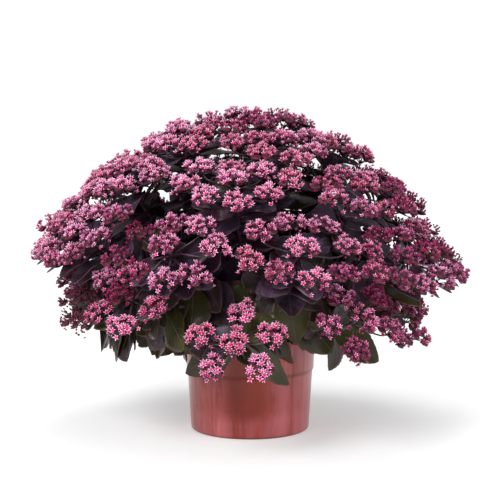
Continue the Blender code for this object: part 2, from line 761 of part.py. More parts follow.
def main():
    clear_scene()
    parts = collection(NAME)
    stems = plan_stems()
    plan_leaves(stems)
    glaze = material("pot_glaze", POT_COLOUR, 0.22)
    compost = material("compost", SOIL_COLOUR, 0.95)
    leafy = material("stem_and_leaf", LEAF_COLOUR, 0.5)
    bloom = material("bloom", BLOOM_COLOUR, 0.6)
    paint(make_pot(parts), glaze)
    paint(make_soil(stems, parts), compost)
    for stem in stems:
        paint(make_stem(stem, parts), leafy)
        for head in stem["heads"]:
            paint(make_head(head, parts), bloom)
    print("leaves", sum(len(leaves) for s in stems for p in s["paths"] for _, leaves in p["nodes"]))
    for obj in parts.objects:
        obj.data.calc_loop_triangles()
    for kind in ("pot", "soil", "stem", "head"):
        print(kind, sum(len(o.data.loop_triangles) for o in parts.objects if o.name.startswith(kind)))


main()
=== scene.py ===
import math

import bpy
import numpy as np
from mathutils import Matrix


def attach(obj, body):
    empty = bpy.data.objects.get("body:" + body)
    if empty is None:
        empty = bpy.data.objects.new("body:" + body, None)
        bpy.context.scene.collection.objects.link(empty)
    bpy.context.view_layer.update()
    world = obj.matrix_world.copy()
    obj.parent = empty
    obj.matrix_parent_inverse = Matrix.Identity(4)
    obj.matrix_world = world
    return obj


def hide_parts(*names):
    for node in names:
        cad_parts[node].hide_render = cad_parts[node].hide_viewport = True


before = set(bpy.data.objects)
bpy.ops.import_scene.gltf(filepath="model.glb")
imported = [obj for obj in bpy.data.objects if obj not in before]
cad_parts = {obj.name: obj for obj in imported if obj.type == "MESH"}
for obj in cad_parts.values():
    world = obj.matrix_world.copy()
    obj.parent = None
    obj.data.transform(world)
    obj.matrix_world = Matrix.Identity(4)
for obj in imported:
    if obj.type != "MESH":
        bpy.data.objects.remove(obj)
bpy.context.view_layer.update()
print("frame loaded:", len(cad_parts), "solids")

seed = 31
gap = 0.0003  # the room between things that meet, in metres
upward = np.array((0.0, 0.0, 1.0))


# a repeatable draw from -1 to 1 for each thing named by its numbers
def draw(*key):
    return float(np.random.default_rng([seed, *key]).uniform(-1.0, 1.0))


# each vector over its own length
def unit(vectors):
    return vectors / np.linalg.norm(vectors, axis=-1, keepdims=True)


# the sum of the products of each pair of vectors
def dots(first, second):
    return (first * second).sum(axis=-1, keepdims=True)


# The plan: where every head, stem and leaf stands, by the same rules and draws as the solids. Lengths are in
# metres. Under varied stands how far a draw changes a value either way.

dome = {
    "reach": 0.316,
    "rise": 0.246,
    "foot": 0.070,
    "sideFoot": 0.130,
    "sideTuck": 0.15,
    "sideBias": 0.2,
    "belly": 0.242,
    "bellyTilt": 0.028,
    "power": 1.25,
}

# latitude on the dome in degrees, clusters round the middle one, the plate's half-width and half-height,
# and the radius of a cluster
headRings = {
    "low": (-18.0, 5, 0.050, 0.035, 0.0210),
    "middle": (19.0, 8, 0.060, 0.040, 0.0240),
    "shoulder": (41.0, 8, 0.060, 0.040, 0.0240),
    "crown": (60.0, 7, 0.050, 0.041, 0.0240),
    "top": (76.0, 6, 0.043, 0.038, 0.0240),
}
headPlan = {
    "lowStagger": 6.0,
    "frontRaise": 4.0,
    "topAzimuths": (36.0, 252.0),
    "tilt": (60.0, 0.63, 66.0),  # at latitude 0, less for each degree, and the most
    "length": 0.048,
    "sag": 0.010,
    "lean": 14.0,
    "skyward": 0.80,
    "clearance": 0.0006,
    "spacing": 0.0475,
    "spreadSteps": 40,
    "push": 0.2,
    "homing": 0.06,
    "spin": 0.35,
    "varied": {"latitude": 2.0, "azimuth": 2.0, "tilt": 4.0, "size": 0.06, "firstTurn": 0.5},
    "clusterVaried": {"turn": 0.18, "out": 0.06, "drop": 0.004, "radius": 0.12},
}
stemPlan = {
    "outer": 11,
    "inner": 7,
    "outerCrown": 0.047,
    "innerCrown": 0.019,
    "soilTop": 0.138,
    "depth": 0.030,
    "clearOfSoil": 0.008,
    "footRadius": 0.0042,
    "tipRadius": 0.0027,
    "forkShare": 0.42,
    "forkSpread": 0.8,
    "points": 33,
    "straightEnd": 0.006,
    "flare": 0.35,
    "handles": (0.42, 0.33, 0.36),  # where a main path starts, where a branch does, and at a head
    "rooted": 0.7,
    "turns": (4.0, 8.0),  # how far round the outer and the inner stems start, in degrees
}
leafPlan = {
    "spacing": 0.048,
    "first": 0.014,
    "last": 0.024,
    "forkClear": 0.014,
    "lowSize": 0.088,
    "highSize": 0.072,
    "aspect": 0.33,
    "clearance": 0.0046,
    "bareBelow": 0.34,
    "inward": -0.2,
    "stalkBend": 0.4,
    "lift": (26.0, 8.0),  # here and below, a value and how far it varies
    "droop": (0.28, 0.08),
    "sizeVaried": 0.08,
    "fall": -0.25,
    "floor": 0.098,
    "swings": (0.0, 24.0, -24.0, 46.0, -46.0),
    "sizes": (1.0, 0.8),
}
potShape = {
    "height": 0.155,
    "baseRadius": 0.0895,
    "bandHeight": 0.091,
    "bandRadius": 0.0962,
    "bandProud": 0.0018,
    "rimRadius": 0.0988,
    "wall": 0.0062,
    "floor": 0.009,
    "floorRound": 0.004,
    "footRound": 0.005,
    "rimRound": 0.0022,
    "step": 0.0012,
    "drainHoles": 4,
    "drainRadius": 0.006,
    "drainCircle": 0.050,
    "around": 160,
    "unevenness": 0.00035,
    "waverSize": 0.07,
    "evenBelow": 0.012,
}


# the unit vector that leans this far from upright, towards this azimuth
def rayAt(azimuth, tilt):
    flat = math.sin(tilt)
    return np.array((flat * math.cos(azimuth), flat * math.sin(azimuth), math.cos(tilt)))


# a point of the dome: a sphere's latitude and longitude, a little conical above the belly, and tucked in
# and lifted below it at the sides
def domePoint(azimuth, latitude):
    belly = dome["belly"] - dome["bellyTilt"] * math.cos(azimuth)
    sideways = math.cos(azimuth) ** 2 * (1.0 - dome["sideBias"] + dome["sideBias"] * math.cos(azimuth))
    flat, climb = math.cos(latitude), math.sin(latitude)
    if latitude > 0.0:
        radius = dome["reach"] * flat ** dome["power"]
        height = belly + (dome["belly"] + dome["rise"] - belly) * climb ** dome["power"]
    else:
        radius = dome["reach"] * flat * (1.0 - dome["sideTuck"] * sideways)
        height = belly + (belly - dome["foot"] - dome["sideFoot"] * sideways) * climb
    return np.array((radius * math.cos(azimuth), radius * math.sin(azimuth), height))


# one cluster of a head: the middle one is j = 0, and the others lie on an oval round it, and sag by the
# square of the way out. Each faces along the head's axis, turned towards the sky and outward.
def planCluster(number, j, around, axis, halfWidth, halfHeight, radius):
    varied = headPlan["clusterVaried"]
    out = 0.0 if j == 0 else 1.0 + varied["out"] * draw(number, 7, j)
    turn = math.tau * (j - 1 + varied["turn"] * draw(number, 5, j)) / around
    turn += headPlan["varied"]["firstTurn"] * draw(number, 6)
    flat = out * (halfWidth * math.cos(turn) * axis[1] + halfHeight * math.sin(turn) * axis[2])
    drop = headPlan["sag"] * out**2 + varied["drop"] * (1.0 + draw(number, 8, j))
    facing = axis[0] + headPlan["skyward"] * upward
    if j > 0:
        facing = facing + math.tan(math.radians(headPlan["lean"])) * unit(flat)
    facing = unit(facing)
    return {
        "place": flat - drop * axis[0],
        "facing": facing,
        "across": unit(np.cross(facing, axis[1])),
        "radius": radius * (1.0 + varied["radius"] * draw(number, 9, j)),
        "spin": headPlan["spin"] * draw(number, 10, j),
    }


# one head: its base, its axis with two directions across it, and its clusters. The tilt from upright falls
# with the latitude on the dome.
def planHead(number, azimuth, ring, raised=0.0):
    latitude, around, halfWidth, halfHeight, radius = headRings[ring]
    varied = headPlan["varied"]
    latitude += raised + varied["latitude"] * draw(number, 1)
    azimuth = math.radians(azimuth + varied["azimuth"] * draw(number, 2))
    lean, fall, most = headPlan["tilt"]
    tilt = math.radians(min(most, lean - fall * latitude) + varied["tilt"] * draw(number, 3))
    middle = domePoint(azimuth, math.radians(latitude))
    up = rayAt(azimuth, tilt)
    across = np.array((-math.sin(azimuth), math.cos(azimuth), 0.0))
    axis = (up, across, np.cross(up, across))
    grow = 1.0 + varied["size"] * draw(number, 4)
    plate = (around, axis, grow * halfWidth, grow * halfHeight, radius)
    clusters = [planCluster(number, j, *plate) for j in range(around + 1)]
    for cluster in clusters:
        cluster["place"] = middle + cluster["place"]
    base = middle - headPlan["length"] * up
    return {"number": number, "ring": ring, "base": base, "axis": axis, "clusters": clusters}


# pushes close clusters apart, each on its own head's plate, and trims each to half the way to the nearest
def spreadClusters(heads):
    clusters = [cluster for head in heads for cluster in head["clusters"]]
    across, along = (np.array([head["axis"][i] for head in heads for _ in head["clusters"]]) for i in (1, 2))
    home = np.array([cluster["place"] for cluster in clusters])
    places = home.copy()
    for _ in range(headPlan["spreadSteps"]):
        apart = places[:, None] - places[None]
        ways = np.linalg.norm(apart, axis=2)
        near = np.clip(headPlan["spacing"] - ways, 0.0, None) * (ways > 0.0) / np.maximum(ways, gap)
        push = headPlan["push"] * (near[:, :, None] * apart).sum(axis=1)
        push = push + headPlan["homing"] * (home - places)
        for axis in (across, along):
            places += (push * axis).sum(axis=1)[:, None] * axis
    for i, cluster in enumerate(clusters):
        cluster["place"] = places[i]
        nearest = np.linalg.norm(np.delete(places, i, axis=0) - places[i], axis=1).min()
        cluster["radius"] = min(cluster["radius"], 0.5 * nearest - headPlan["clearance"])


# cubic curves from arrays of ends and handles: each counts by the cube rule of s and t
def curved(start, first, second, end, count):
    start, first, second, end = (spot[..., None, :] for spot in (start, first, second, end))
    t = np.linspace(0.0, 1.0, count)[:, None]
    s = 1.0 - t
    return s**3 * start + 3 * s * s * t * first + 3 * s * t * t * second + t**3 * end


# a path: its points, and the length from its start to each of them as the sum of the steps
def measured(points, plane, radii):
    steps = np.linalg.norm(np.diff(points, axis=0), axis=1)
    lengths = np.concatenate(((0.0,), np.cumsum(steps)))
    return {"points": points, "lengths": lengths, "plane": plane, "radii": radii, "twist": 0.0, "leaves": []}


# the points at one or many lengths along a path
def pointsAt(path, lengths):
    return np.stack([np.interp(lengths, path["lengths"], path["points"][:, i]) for i in range(3)], axis=-1)


# the place, heading, two side directions and radius at a length along a path
def station(path, length):
    lengths = path["lengths"]
    length = min(max(length, 0.0), lengths[-1])
    place = pointsAt(path, length)
    piece = min(max(int(np.searchsorted(lengths, length)), 1), len(lengths) - 1)
    heading = unit(path["points"][piece] - path["points"][piece - 1])
    side = unit(path["plane"] - np.dot(path["plane"], heading) * heading)
    share = length / lengths[-1]
    radius = path["radii"][0] * (1.0 - share) + path["radii"][1] * share
    return place, heading, side, np.cross(heading, side), radius


# where a path ends: its tip just under a head's base, and its neck a short straight piece before that
def pathEnd(head):
    tip = head["base"] - gap * head["axis"][0]
    return tip, tip - stemPlan["straightEnd"] * head["axis"][0]


# the points of a path: a curve that leaves its start one way and comes straight into its head, with handles
# as shares of its reach
def pathTo(head, start, leaving, reach, share):
    tip, neck = pathEnd(head)
    handles = (start + share * reach * leaving, neck - stemPlan["handles"][2] * reach * head["axis"][0])
    return np.vstack((curved(start, *handles, neck, stemPlan["points"]), tip))


# one stem: a main path from the crown to one head, and a branch from its fork to another
def planStem(number, azimuth, crown, mainHead, sideHead):
    sizes = stemPlan
    azimuth = math.radians(azimuth)
    foot = np.array((crown * math.cos(azimuth), crown * math.sin(azimuth), sizes["soilTop"] - sizes["depth"]))
    start = foot + (sizes["depth"] + sizes["clearOfSoil"]) * upward
    leaving = unit(upward + sizes["flare"] * rayAt(azimuth, 0.5 * math.pi))
    way = pathEnd(mainHead)[1] - start
    points = np.vstack((foot, pathTo(mainHead, start, leaving, np.linalg.norm(way), sizes["handles"][0])))
    main = measured(points, unit(np.cross(upward, way)), (sizes["footRadius"], sizes["tipRadius"]))
    fork = sizes["forkShare"] * main["lengths"][-1]
    place, heading, side, other, radius = station(main, fork)
    way = pathEnd(sideHead)[1] - place
    out = unit(way - np.dot(way, heading) * heading)
    main["twist"] = math.atan2(np.dot(out, other), np.dot(out, side))
    begin = place + sizes["rooted"] * radius * out
    leaving = unit(heading + sizes["forkSpread"] * out)
    points = pathTo(sideHead, begin, leaving, np.linalg.norm(way), sizes["handles"][1])
    branch = measured(points, unit(np.cross(heading, out)), (radius, sizes["tipRadius"]))
    return {"number": number, "paths": (main, branch), "fork": fork, "heads": (mainHead, sideHead)}


# outer stems carry a middle and a low head each, and inner stems a crown or top head and a shoulder head
def planStems():
    stems = []
    outer, inner = stemPlan["outer"], stemPlan["inner"]
    for k in range(outer):
        azimuth = 360.0 * k / outer + stemPlan["turns"][0]
        front = max(0.0, -math.sin(math.radians(azimuth)))
        raised = headPlan["lowStagger"] * (1 if k % 2 else -1) + headPlan["frontRaise"] * front
        low = planHead(2 * k, azimuth, "low", raised)
        middle = planHead(2 * k + 1, azimuth + 180.0 / outer, "middle")
        stems.append(planStem(k, azimuth + 90.0 / outer, stemPlan["outerCrown"], middle, low))
    crowns = [(72.0 * k, "crown") for k in range(5)]
    crowns[2:2] = [(headPlan["topAzimuths"][0], "top")]
    crowns.append((headPlan["topAzimuths"][1], "top"))
    for k, (azimuth, ring) in enumerate(crowns):
        number = outer + k
        around = 360.0 * k / inner + stemPlan["turns"][1]
        upper = planHead(2 * number, azimuth, ring)
        shoulder = planHead(2 * number + 1, around, "shoulder")
        stems.append(planStem(number, around, stemPlan["innerCrown"], upper, shoulder))
    spreadClusters([head for stem in stems for head in stem["heads"]])
    return stems


# What stands in a leaf's way is held as balls: rows of x, y, z and radius.

ballPlan = {
    "peduncle": (0.56, 6),  # up to this share of its length, in so many balls
    "hub": 0.4,
    "ray": (0.1, 0.9, 7),
    "rayRadius": 0.004,
    "rimAt": 0.72,
    "rimRadius": (0.3, 0.003),  # a share of the cluster's radius, and more
    "middleRadius": 0.5,
    "pathStep": 0.006,
    "potClear": (0.007, 0.006),  # beside the rim and above it
    "blade": (0.2, 1.0),
    "across": (-0.95, 0.95),
    "grid": (13, 9),
    "bulge": (0.97, 0.6),  # the last share along, and the power of the sine
}


# rows for points of one radius
def balls(points, radius):
    points = np.atleast_2d(points)
    return np.column_stack((points, np.full(len(points), radius)))


# a head's balls: along its peduncle and each ray, and a middle one and eight round it for each cluster
def headBalls(head):
    plan = ballPlan
    most, count = plan["peduncle"]
    stalk = headPlan["length"] * head["axis"][0]
    rows = [balls(head["base"] + np.outer(np.linspace(0.0, most, count), stalk), leafPlan["clearance"])]
    hub = head["base"] + plan["hub"] * headPlan["length"] * head["axis"][0]
    turns = np.radians(np.arange(0.0, 360.0, 45.0))[:, None]
    share, more = plan["rimRadius"]
    for cluster in head["clusters"]:
        place, radius = cluster["place"], cluster["radius"]
        rows.append(balls(hub + np.outer(np.linspace(*plan["ray"]), place - hub), plan["rayRadius"]))
        other = np.cross(cluster["facing"], cluster["across"])
        circle = np.cos(turns) * cluster["across"] + np.sin(turns) * other
        rows.append(balls(place + plan["rimAt"] * radius * circle, share * radius + more))
        rows.append(balls(place, plan["middleRadius"] * radius))
    return np.vstack(rows)


# balls at even steps along a path
def pathBalls(path):
    stops = np.arange(0.0, path["lengths"][-1], ballPlan["pathStep"])
    return balls(pointsAt(path, stops), leafPlan["clearance"])


# true if no ball of rows meets a ball that is taken
def clear(rows, taken):
    middle = rows[:, :3].mean(axis=0)
    reach = np.linalg.norm(rows[:, :3] - middle, axis=1).max() + rows[:, 3].max()
    near = taken[np.linalg.norm(taken[:, :3] - middle, axis=1) < reach + taken[:, 3]]
    apart = np.linalg.norm(rows[:, None, :3] - near[None, :, :3], axis=2)
    return not (apart < rows[:, None, 3] + near[None, :, 3]).any()


# true if every ball is outside the pot's rim or above it, and above the least height
def clearsPot(rows):
    beside, above = ballPlan["potClear"]
    inside = np.hypot(rows[:, 0], rows[:, 1]) < potShape["rimRadius"] + beside
    sunk = inside & (rows[:, 2] < potShape["height"] + above)
    return not sunk.any() and rows[:, 2].min() > leafPlan["floor"]


# a leaf on one face of a stem, swung to a side, lifted towards the stem's tip and then drooping
def planLeaf(path, length, face, swing, lift, droop, size, fall=leafPlan["fall"]):
    place, heading, side, other, radius = station(path, length)
    turn = path["twist"] + face * 0.5 * math.pi
    square = math.cos(turn) * side + math.sin(turn) * other
    out = math.cos(turn + swing) * side + math.sin(turn + swing) * other
    axis = math.cos(lift) * out + math.sin(lift) * heading
    across = np.cross(heading, out)
    if fall < leafPlan["fall"]:
        axis[2] = min(axis[2], fall)
    axis[2] = max(axis[2], fall)
    axis = unit(axis)
    return {
        "base": place + stemPlan["rooted"] * radius * square,
        "axis": axis,
        "side": unit(across - np.dot(across, axis) * axis),
        "square": square,
        "droop": droop,
        "length": size,
    }


# points of the blade: the spine falls with the square of the share, and the blade lies across it
def leafPoints(leaf, along, across):
    along = np.asarray(along, float)[:, None]
    spine = leaf["base"] + leaf["length"] * (along * leaf["axis"] - leaf["droop"] * along**2 * upward)
    return spine + np.asarray(across, float)[:, None] * leaf["side"]


# a grid of balls over a blade, whose half-width is a power of a sine of the share along
def leafBalls(leaf, grid=ballPlan["grid"], clearance=leafPlan["clearance"]):
    shares = (np.linspace(*span, count) for span, count in zip((ballPlan["blade"], ballPlan["across"]), grid))
    along, across = np.meshgrid(*shares)
    most, power = ballPlan["bulge"]
    widths = leafPlan["aspect"] * leaf["length"] * np.sin(math.pi * np.clip(along, 0.0, most)) ** power
    return balls(leafPoints(leaf, along.ravel(), (across * widths).ravel()), clearance)


# true if a leaf's stalk isn't bent back, and the leaf doesn't grow inward where it is too dark for leaves
def wouldLast(leaf):
    base, axis = leaf["base"], leaf["axis"]
    inward = np.dot(base[:2], axis[:2]) < leafPlan["inward"] * math.hypot(base[0], base[1])
    bent = np.dot(axis, leaf["square"]) <= leafPlan["stalkBend"]
    return not bent and not (inward and base[2] < leafPlan["bareBelow"])


# the first leaf that clears all that is there, as it is swung and then made smaller, else none. Leaves shrink
# with the height or the way out, whichever share is more.
def fittedLeaf(key, path, length, face, taken):
    point = station(path, length)[0]
    height = (point[2] - stemPlan["soilTop"]) / (dome["belly"] + dome["rise"] - stemPlan["soilTop"])
    reach = math.hypot(point[0], point[1]) / dome["reach"]
    size = leafPlan["lowSize"] + (leafPlan["highSize"] - leafPlan["lowSize"]) * min(1.0, max(height, reach))
    size *= 1.0 + leafPlan["sizeVaried"] * draw(*key, 14)
    lift, liftVaried = leafPlan["lift"]
    lift = math.radians(lift + liftVaried * draw(*key, 11))
    droop, droopVaried = leafPlan["droop"]
    droop += droopVaried * draw(*key, 12)
    for scale in leafPlan["sizes"]:
        for swing in leafPlan["swings"]:
            leaf = planLeaf(path, length, face, math.radians(swing), lift, droop, scale * size)
            rows = leafBalls(leaf)
            if wouldLast(leaf) and clearsPot(rows) and clear(rows, taken):
                return leaf, rows
    return None, None


# pairs of leaves up each stem, every pair a quarter turn on from the last, wherever there is room
def planLeaves(stems):
    heads = [headBalls(head) for stem in stems for head in stem["heads"]]
    taken = np.vstack(heads + [pathBalls(path) for stem in stems for path in stem["paths"]])
    for stem in stems:
        for part, path in enumerate(stem["paths"]):
            first = leafPlan["first"] + (0.0 if part else stemPlan["depth"] + stemPlan["clearOfSoil"])
            stops = np.arange(first, path["lengths"][-1] - leafPlan["last"], leafPlan["spacing"])
            for k, length in enumerate(stops):
                if part == 0 and abs(length - stem["fork"]) < leafPlan["forkClear"]:
                    length = stem["fork"] + math.copysign(leafPlan["forkClear"], length - stem["fork"])
                for face in (k % 2, k % 2 + 2):
                    leaf, rows = fittedLeaf((stem["number"], part, k, face), path, length, face, taken)
                    if leaf:
                        leaf["node"] = length
                        path["leaves"].append(leaf)
                        taken = np.vstack((taken, rows))
    return taken


fillPlan = {
    "spacing": 0.017,
    "first": 0.4,
    "last": 0.003,
    "faces": (0.5, 2.5, 1.5, 3.5),
    "parts": 40,
    "grid": (8, 5),
    "sizeVaried": 0.10,
    "sizes": (0.92, 0.64, 0.46),
    "swings": (0.0, 32.0, -32.0),
    "lifts": (34.0, 6.0),
    "liftDraw": 12.0,
    "droop": (0.24, 0.10),
    "hangBelow": 0.265,
    "hangs": (-0.9, -0.5),
    "hangWithin": 0.205,
    "hangVaried": 0.4,
    "hangBroad": 1.28,
    "hangClearance": -0.0008,
    "fineBelow": 0.24,
    "fineInFront": 0.02,
    "hangSizes": (1.25, 0.95, 0.64),
    "stub": (0.5, 5),
    "stubFirst": 0.002,
    "stubSpacing": 0.012,
    "clearance": 0.0022,
    "around": 0.125,
    "squareness": 0.12,
    "floorRise": 0.16,
    "rightRise": (0.03, 0.55, 0.052),  # from this x on, the slope, and the most
}


# the sizes, lifts and falls that a small leaf tries in turn. Low ones within a radius try first to hang.
def fillTries(key, place):
    lifted = fillPlan["liftDraw"] * draw(*key, 31)
    tries = [(s, lift + lifted, leafPlan["fall"]) for s in fillPlan["sizes"] for lift in fillPlan["lifts"]]
    if place[2] < fillPlan["hangBelow"] and np.hypot(*place[:2]) < fillPlan["hangWithin"]:
        varied = 1.0 + fillPlan["hangVaried"] * draw(*key, 36)
        tries = [(s, 0.0, varied * hang) for hang in fillPlan["hangs"] for s in fillPlan["hangSizes"]] + tries
    return tries


# the first small leaf that clears all that is near, else none. It ends above a floor that rises with the way
# to the front and to the right.
def fittedFill(key, path, length, face, near):
    size = leafPlan["highSize"] * (1.0 + fillPlan["sizeVaried"] * draw(*key, 34))
    droop = fillPlan["droop"][0] + fillPlan["droop"][1] * draw(*key, 32)
    edge, rise, most = fillPlan["rightRise"]
    for scale, lift, fall in fillTries(key, station(path, length)[0]):
        hangs = fall < leafPlan["fall"]
        for swing in fillPlan["swings"]:
            turned = (math.radians(swing), math.radians(lift), droop)
            leaf = planLeaf(path, length, face, *turned, scale * size, fall)
            if np.dot(leaf["axis"], leaf["square"]) < fillPlan["squareness"]:
                continue
            rows = leafBalls(leaf, fillPlan["grid"], fillPlan["hangClearance" if hangs else "clearance"])
            floor = leafPlan["floor"] - fillPlan["floorRise"] * min(0.0, leaf["base"][1])
            floor += min(most, max(0.0, rise * (leaf["base"][0] - edge)))
            if rows[:, 2].min() > floor and clearsPot(rows) and clear(rows, near):
                leaf["broad"] = fillPlan["hangBroad"] if hangs else 1.0
                return leaf, rows
    return None, None


# a head's peduncle as a path for the few leaves that grow under the flowers
def stubPath(head):
    up, across = head["axis"][:2]
    most, count = fillPlan["stub"]
    points = head["base"] + np.outer(np.linspace(0.0, most * headPlan["length"], count), up)
    return measured(points, across, (stemPlan["tipRadius"], stemPlan["tipRadius"]))


# smaller leaves in the room that is left along every stem, each an eighth of a turn off the pairs, and under
# the flowers
def planFill(stems, taken):
    fill = []
    for stem in stems:
        for part, path in enumerate([*stem["paths"], *map(stubPath, stem["heads"])]):
            spacing = fillPlan["spacing"] if part < 2 else fillPlan["stubSpacing"]
            first = leafPlan["first"] + fillPlan["first"] * spacing if part < 2 else fillPlan["stubFirst"]
            first += 0.0 if part else stemPlan["depth"] + stemPlan["clearOfSoil"]
            stops = np.arange(first, path["lengths"][-1] - fillPlan["last"], spacing)
            for k, length in enumerate(stops):
                place = station(path, length)[0]
                near = taken[np.linalg.norm(taken[:, :3] - place, axis=1) < fillPlan["around"]]
                for face in fillPlan["faces"]:
                    key = (stem["number"], fillPlan["parts"] + part, k, int(2 * face))
                    leaf, rows = fittedFill(key, path, length, face, near)
                    if leaf:
                        fill.append(leaf)
                        near = np.vstack((near, rows))
                        taken = np.vstack((taken, rows))
    return fill


stems = planStems()
taken = planLeaves(stems)
fillLeaves = planFill(stems, taken)
heads = sorted((head for stem in stems for head in stem["heads"]), key=lambda head: head["number"])
pairCount = sum(len(path["leaves"]) for stem in stems for path in stem["paths"])
print("plan:", len(stems), "stems,", len(heads), "heads,", pairCount, "and", len(fillLeaves), "leaves")


# the names of the solids that stems or heads stand in for
def nodeNames(kind, things):
    return [f"{kind}_{thing['number'] + 1:02d}" for thing in things]


# Meshes from whole arrays


# a piece from points, index arrays of three or four columns, layers of values per point and a finish per face
def makePiece(name, points, faces, finishes, slot=None, stoodFor=(), layers=None, finishOf=None):
    corners = np.concatenate([part.ravel() for part in faces]).astype(np.int32)
    sizes = np.concatenate([np.full(len(part), part.shape[1]) for part in faces])
    mesh = bpy.data.meshes.new(name)
    mesh.vertices.add(len(points))
    mesh.vertices.foreach_set("co", np.asarray(points, np.float32).ravel())
    mesh.loops.add(len(corners))
    mesh.loops.foreach_set("vertex_index", corners)
    mesh.polygons.add(len(sizes))
    mesh.polygons.foreach_set("loop_start", (np.cumsum(sizes) - sizes).astype(np.int32))
    mesh.polygons.foreach_set("use_smooth", np.ones(len(sizes), bool))
    for finish in finishes:
        mesh.materials.append(finish)
    if finishOf is not None:
        mesh.polygons.foreach_set("material_index", np.asarray(finishOf, np.int32))
    for layer, values in (layers or {}).items():
        made = mesh.attributes.new(layer, "FLOAT_VECTOR", "POINT")
        made.data.foreach_set("vector", np.asarray(values, np.float32).ravel())
    mesh.update(calc_edges=True)
    mesh.validate()
    piece = bpy.data.objects.new(name, mesh)
    bpy.context.scene.collection.objects.link(piece)
    if slot:
        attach(piece, "root")
    if stoodFor:
        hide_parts(*stoodFor)
    return piece


# the faces of many copies of one template, each moved on by the template's number of points
def repeated(template, copies, pointsEach):
    moved = pointsEach * np.arange(copies)[:, None, None]
    return [(part[None] + moved).reshape(-1, part.shape[1]) for part in template]


# faces of a skin of rings, with a pole at each end: points are numbered ring by ring, then the two poles
def skinFaces(rings, sides):
    i, k = np.meshgrid(np.arange(rings - 1), np.arange(sides), indexing="ij")
    step = (k + 1) % sides
    walls = np.stack((i * sides + k, i * sides + step, (i + 1) * sides + step, (i + 1) * sides + k), axis=-1)
    k = np.arange(sides)
    step = (k + 1) % sides
    last = (rings - 1) * sides
    near = np.stack((np.full(sides, rings * sides), step, k), axis=-1)
    far = np.stack((np.full(sides, rings * sides + 1), last + k, last + step), axis=-1)
    return [walls.reshape(-1, 4), np.vstack((near, far))]


# the part of a guide that is square to an axis, and the direction square to both
def squareTo(guide, axis):
    side = unit(guide - dots(guide, axis) * axis)
    return side, np.cross(axis, side)


# level unit vectors at the cosine and sine of each turn
def levelRing(turn):
    return np.column_stack((np.cos(turn), np.sin(turn), np.zeros(len(turn))))


# tubes along many paths at once: each ring lies across the path's heading, at cos and sin of the turn
def tubeSkins(paths, radii, sides):
    copies, rings = radii.shape
    heading = unit(np.gradient(paths, axis=1))
    least = np.argmin(np.abs(heading.mean(axis=1)), axis=1)
    side, other = squareTo(np.eye(3)[least][:, None], heading)
    turn = (math.tau * np.arange(sides) / sides)[:, None]
    ring = np.cos(turn) * side[:, :, None] + np.sin(turn) * other[:, :, None]
    skin = paths[:, :, None] + radii[:, :, None, None] * ring
    points = np.concatenate((skin.reshape(copies, rings * sides, 3), paths[:, [0, -1]]), axis=1)
    return points.reshape(-1, 3), repeated(skinFaces(rings, sides), copies, rings * sides + 2)


# points and faces of several skins as one, with the later faces moved on
def joined(skins):
    points, faces, before = [], [], 0
    for somePoints, someFaces in skins:
        points.append(somePoints)
        faces += [part + before for part in someFaces]
        before += len(somePoints)
    return np.vstack(points), faces


# smooth fields of noise: a sum of sine waves with seeded directions and phases
def waves(points, size, key, count=9):
    rng = np.random.default_rng([seed, 900, key])
    ways = unit(rng.normal(size=(count, 3))) * (math.tau / size) * rng.uniform(0.6, 1.6, (count, 1))
    phases = rng.uniform(0.0, math.tau, count)
    return np.sin(points @ ways.T + phases).sum(axis=-1) / math.sqrt(count)


# Finishes


# an sRGB colour, 0 to 255, as the linear values that a socket takes
def colour(red, green, blue):
    share = np.array((red, green, blue)) / 255.0
    linear = np.where(share <= 0.04045, share / 12.92, ((share + 0.055) / 1.055) ** 2.4)
    return (*linear.tolist(), 1.0)


# links a socket's value to a socket, or sets it
def wire(tree, socket, value):
    if isinstance(value, bpy.types.NodeSocket):
        tree.links.new(value, socket)
    else:
        socket.default_value = value


# a node of a kind, with its input sockets wired and its settings made
def addNode(tree, kind, sockets=None, **settings):
    made = tree.nodes.new("ShaderNode" + kind)
    for key, value in settings.items():
        setattr(made, key, value)
    for key, value in (sockets or {}).items():
        wire(tree, made.inputs[key], value)
    return made


# two values added, multiplied or the like, as the operation says
def calc(tree, operation, first, second=0.0, clamp=False):
    return addNode(tree, "Math", {0: first, 1: second}, operation=operation, use_clamp=clamp).outputs[0]


# a value carried smoothly from one range to another
def carried(tree, value, low, high, toLow=0.0, toHigh=1.0):
    sockets = {"Value": value, "From Min": low, "From Max": high, "To Min": toLow, "To Max": toHigh}
    return addNode(tree, "MapRange", sockets, interpolation_type="SMOOTHSTEP").outputs["Result"]


# from the first colour to the second by a share
def tinted(tree, share, first, second, blend="MIX"):
    sockets = {0: share, 6: first, 7: second}
    return addNode(tree, "Mix", sockets, data_type="RGBA", blend_type=blend).outputs[2]


# fractal noise, about 0.5 on the whole
def noise(tree, vector, scale, detail=3.0, roughness=0.55, distortion=0.0):
    sockets = {"Vector": vector, "Scale": scale, "Detail": detail}
    sockets.update({"Roughness": roughness, "Distortion": distortion})
    return addNode(tree, "TexNoise", sockets).outputs["Fac"]


# the point on the object, in metres, times a scale
def placeOf(tree, scale=(1.0, 1.0, 1.0)):
    place = addNode(tree, "TexCoord").outputs["Object"]
    return addNode(tree, "Mapping", {"Vector": place, "Scale": scale}).outputs["Vector"]


# the three values of one of the mesh's own layers
def layerOf(tree, name):
    vector = addNode(tree, "Attribute", attribute_name=name).outputs["Vector"]
    return addNode(tree, "SeparateXYZ", {"Vector": vector}).outputs


# a normal tilted by the slope of a height
def bumped(tree, height, strength, distance, under=None):
    sockets = {"Height": height, "Strength": strength, "Distance": distance}
    if under:
        sockets["Normal"] = under
    return addNode(tree, "Bump", sockets).outputs["Normal"]


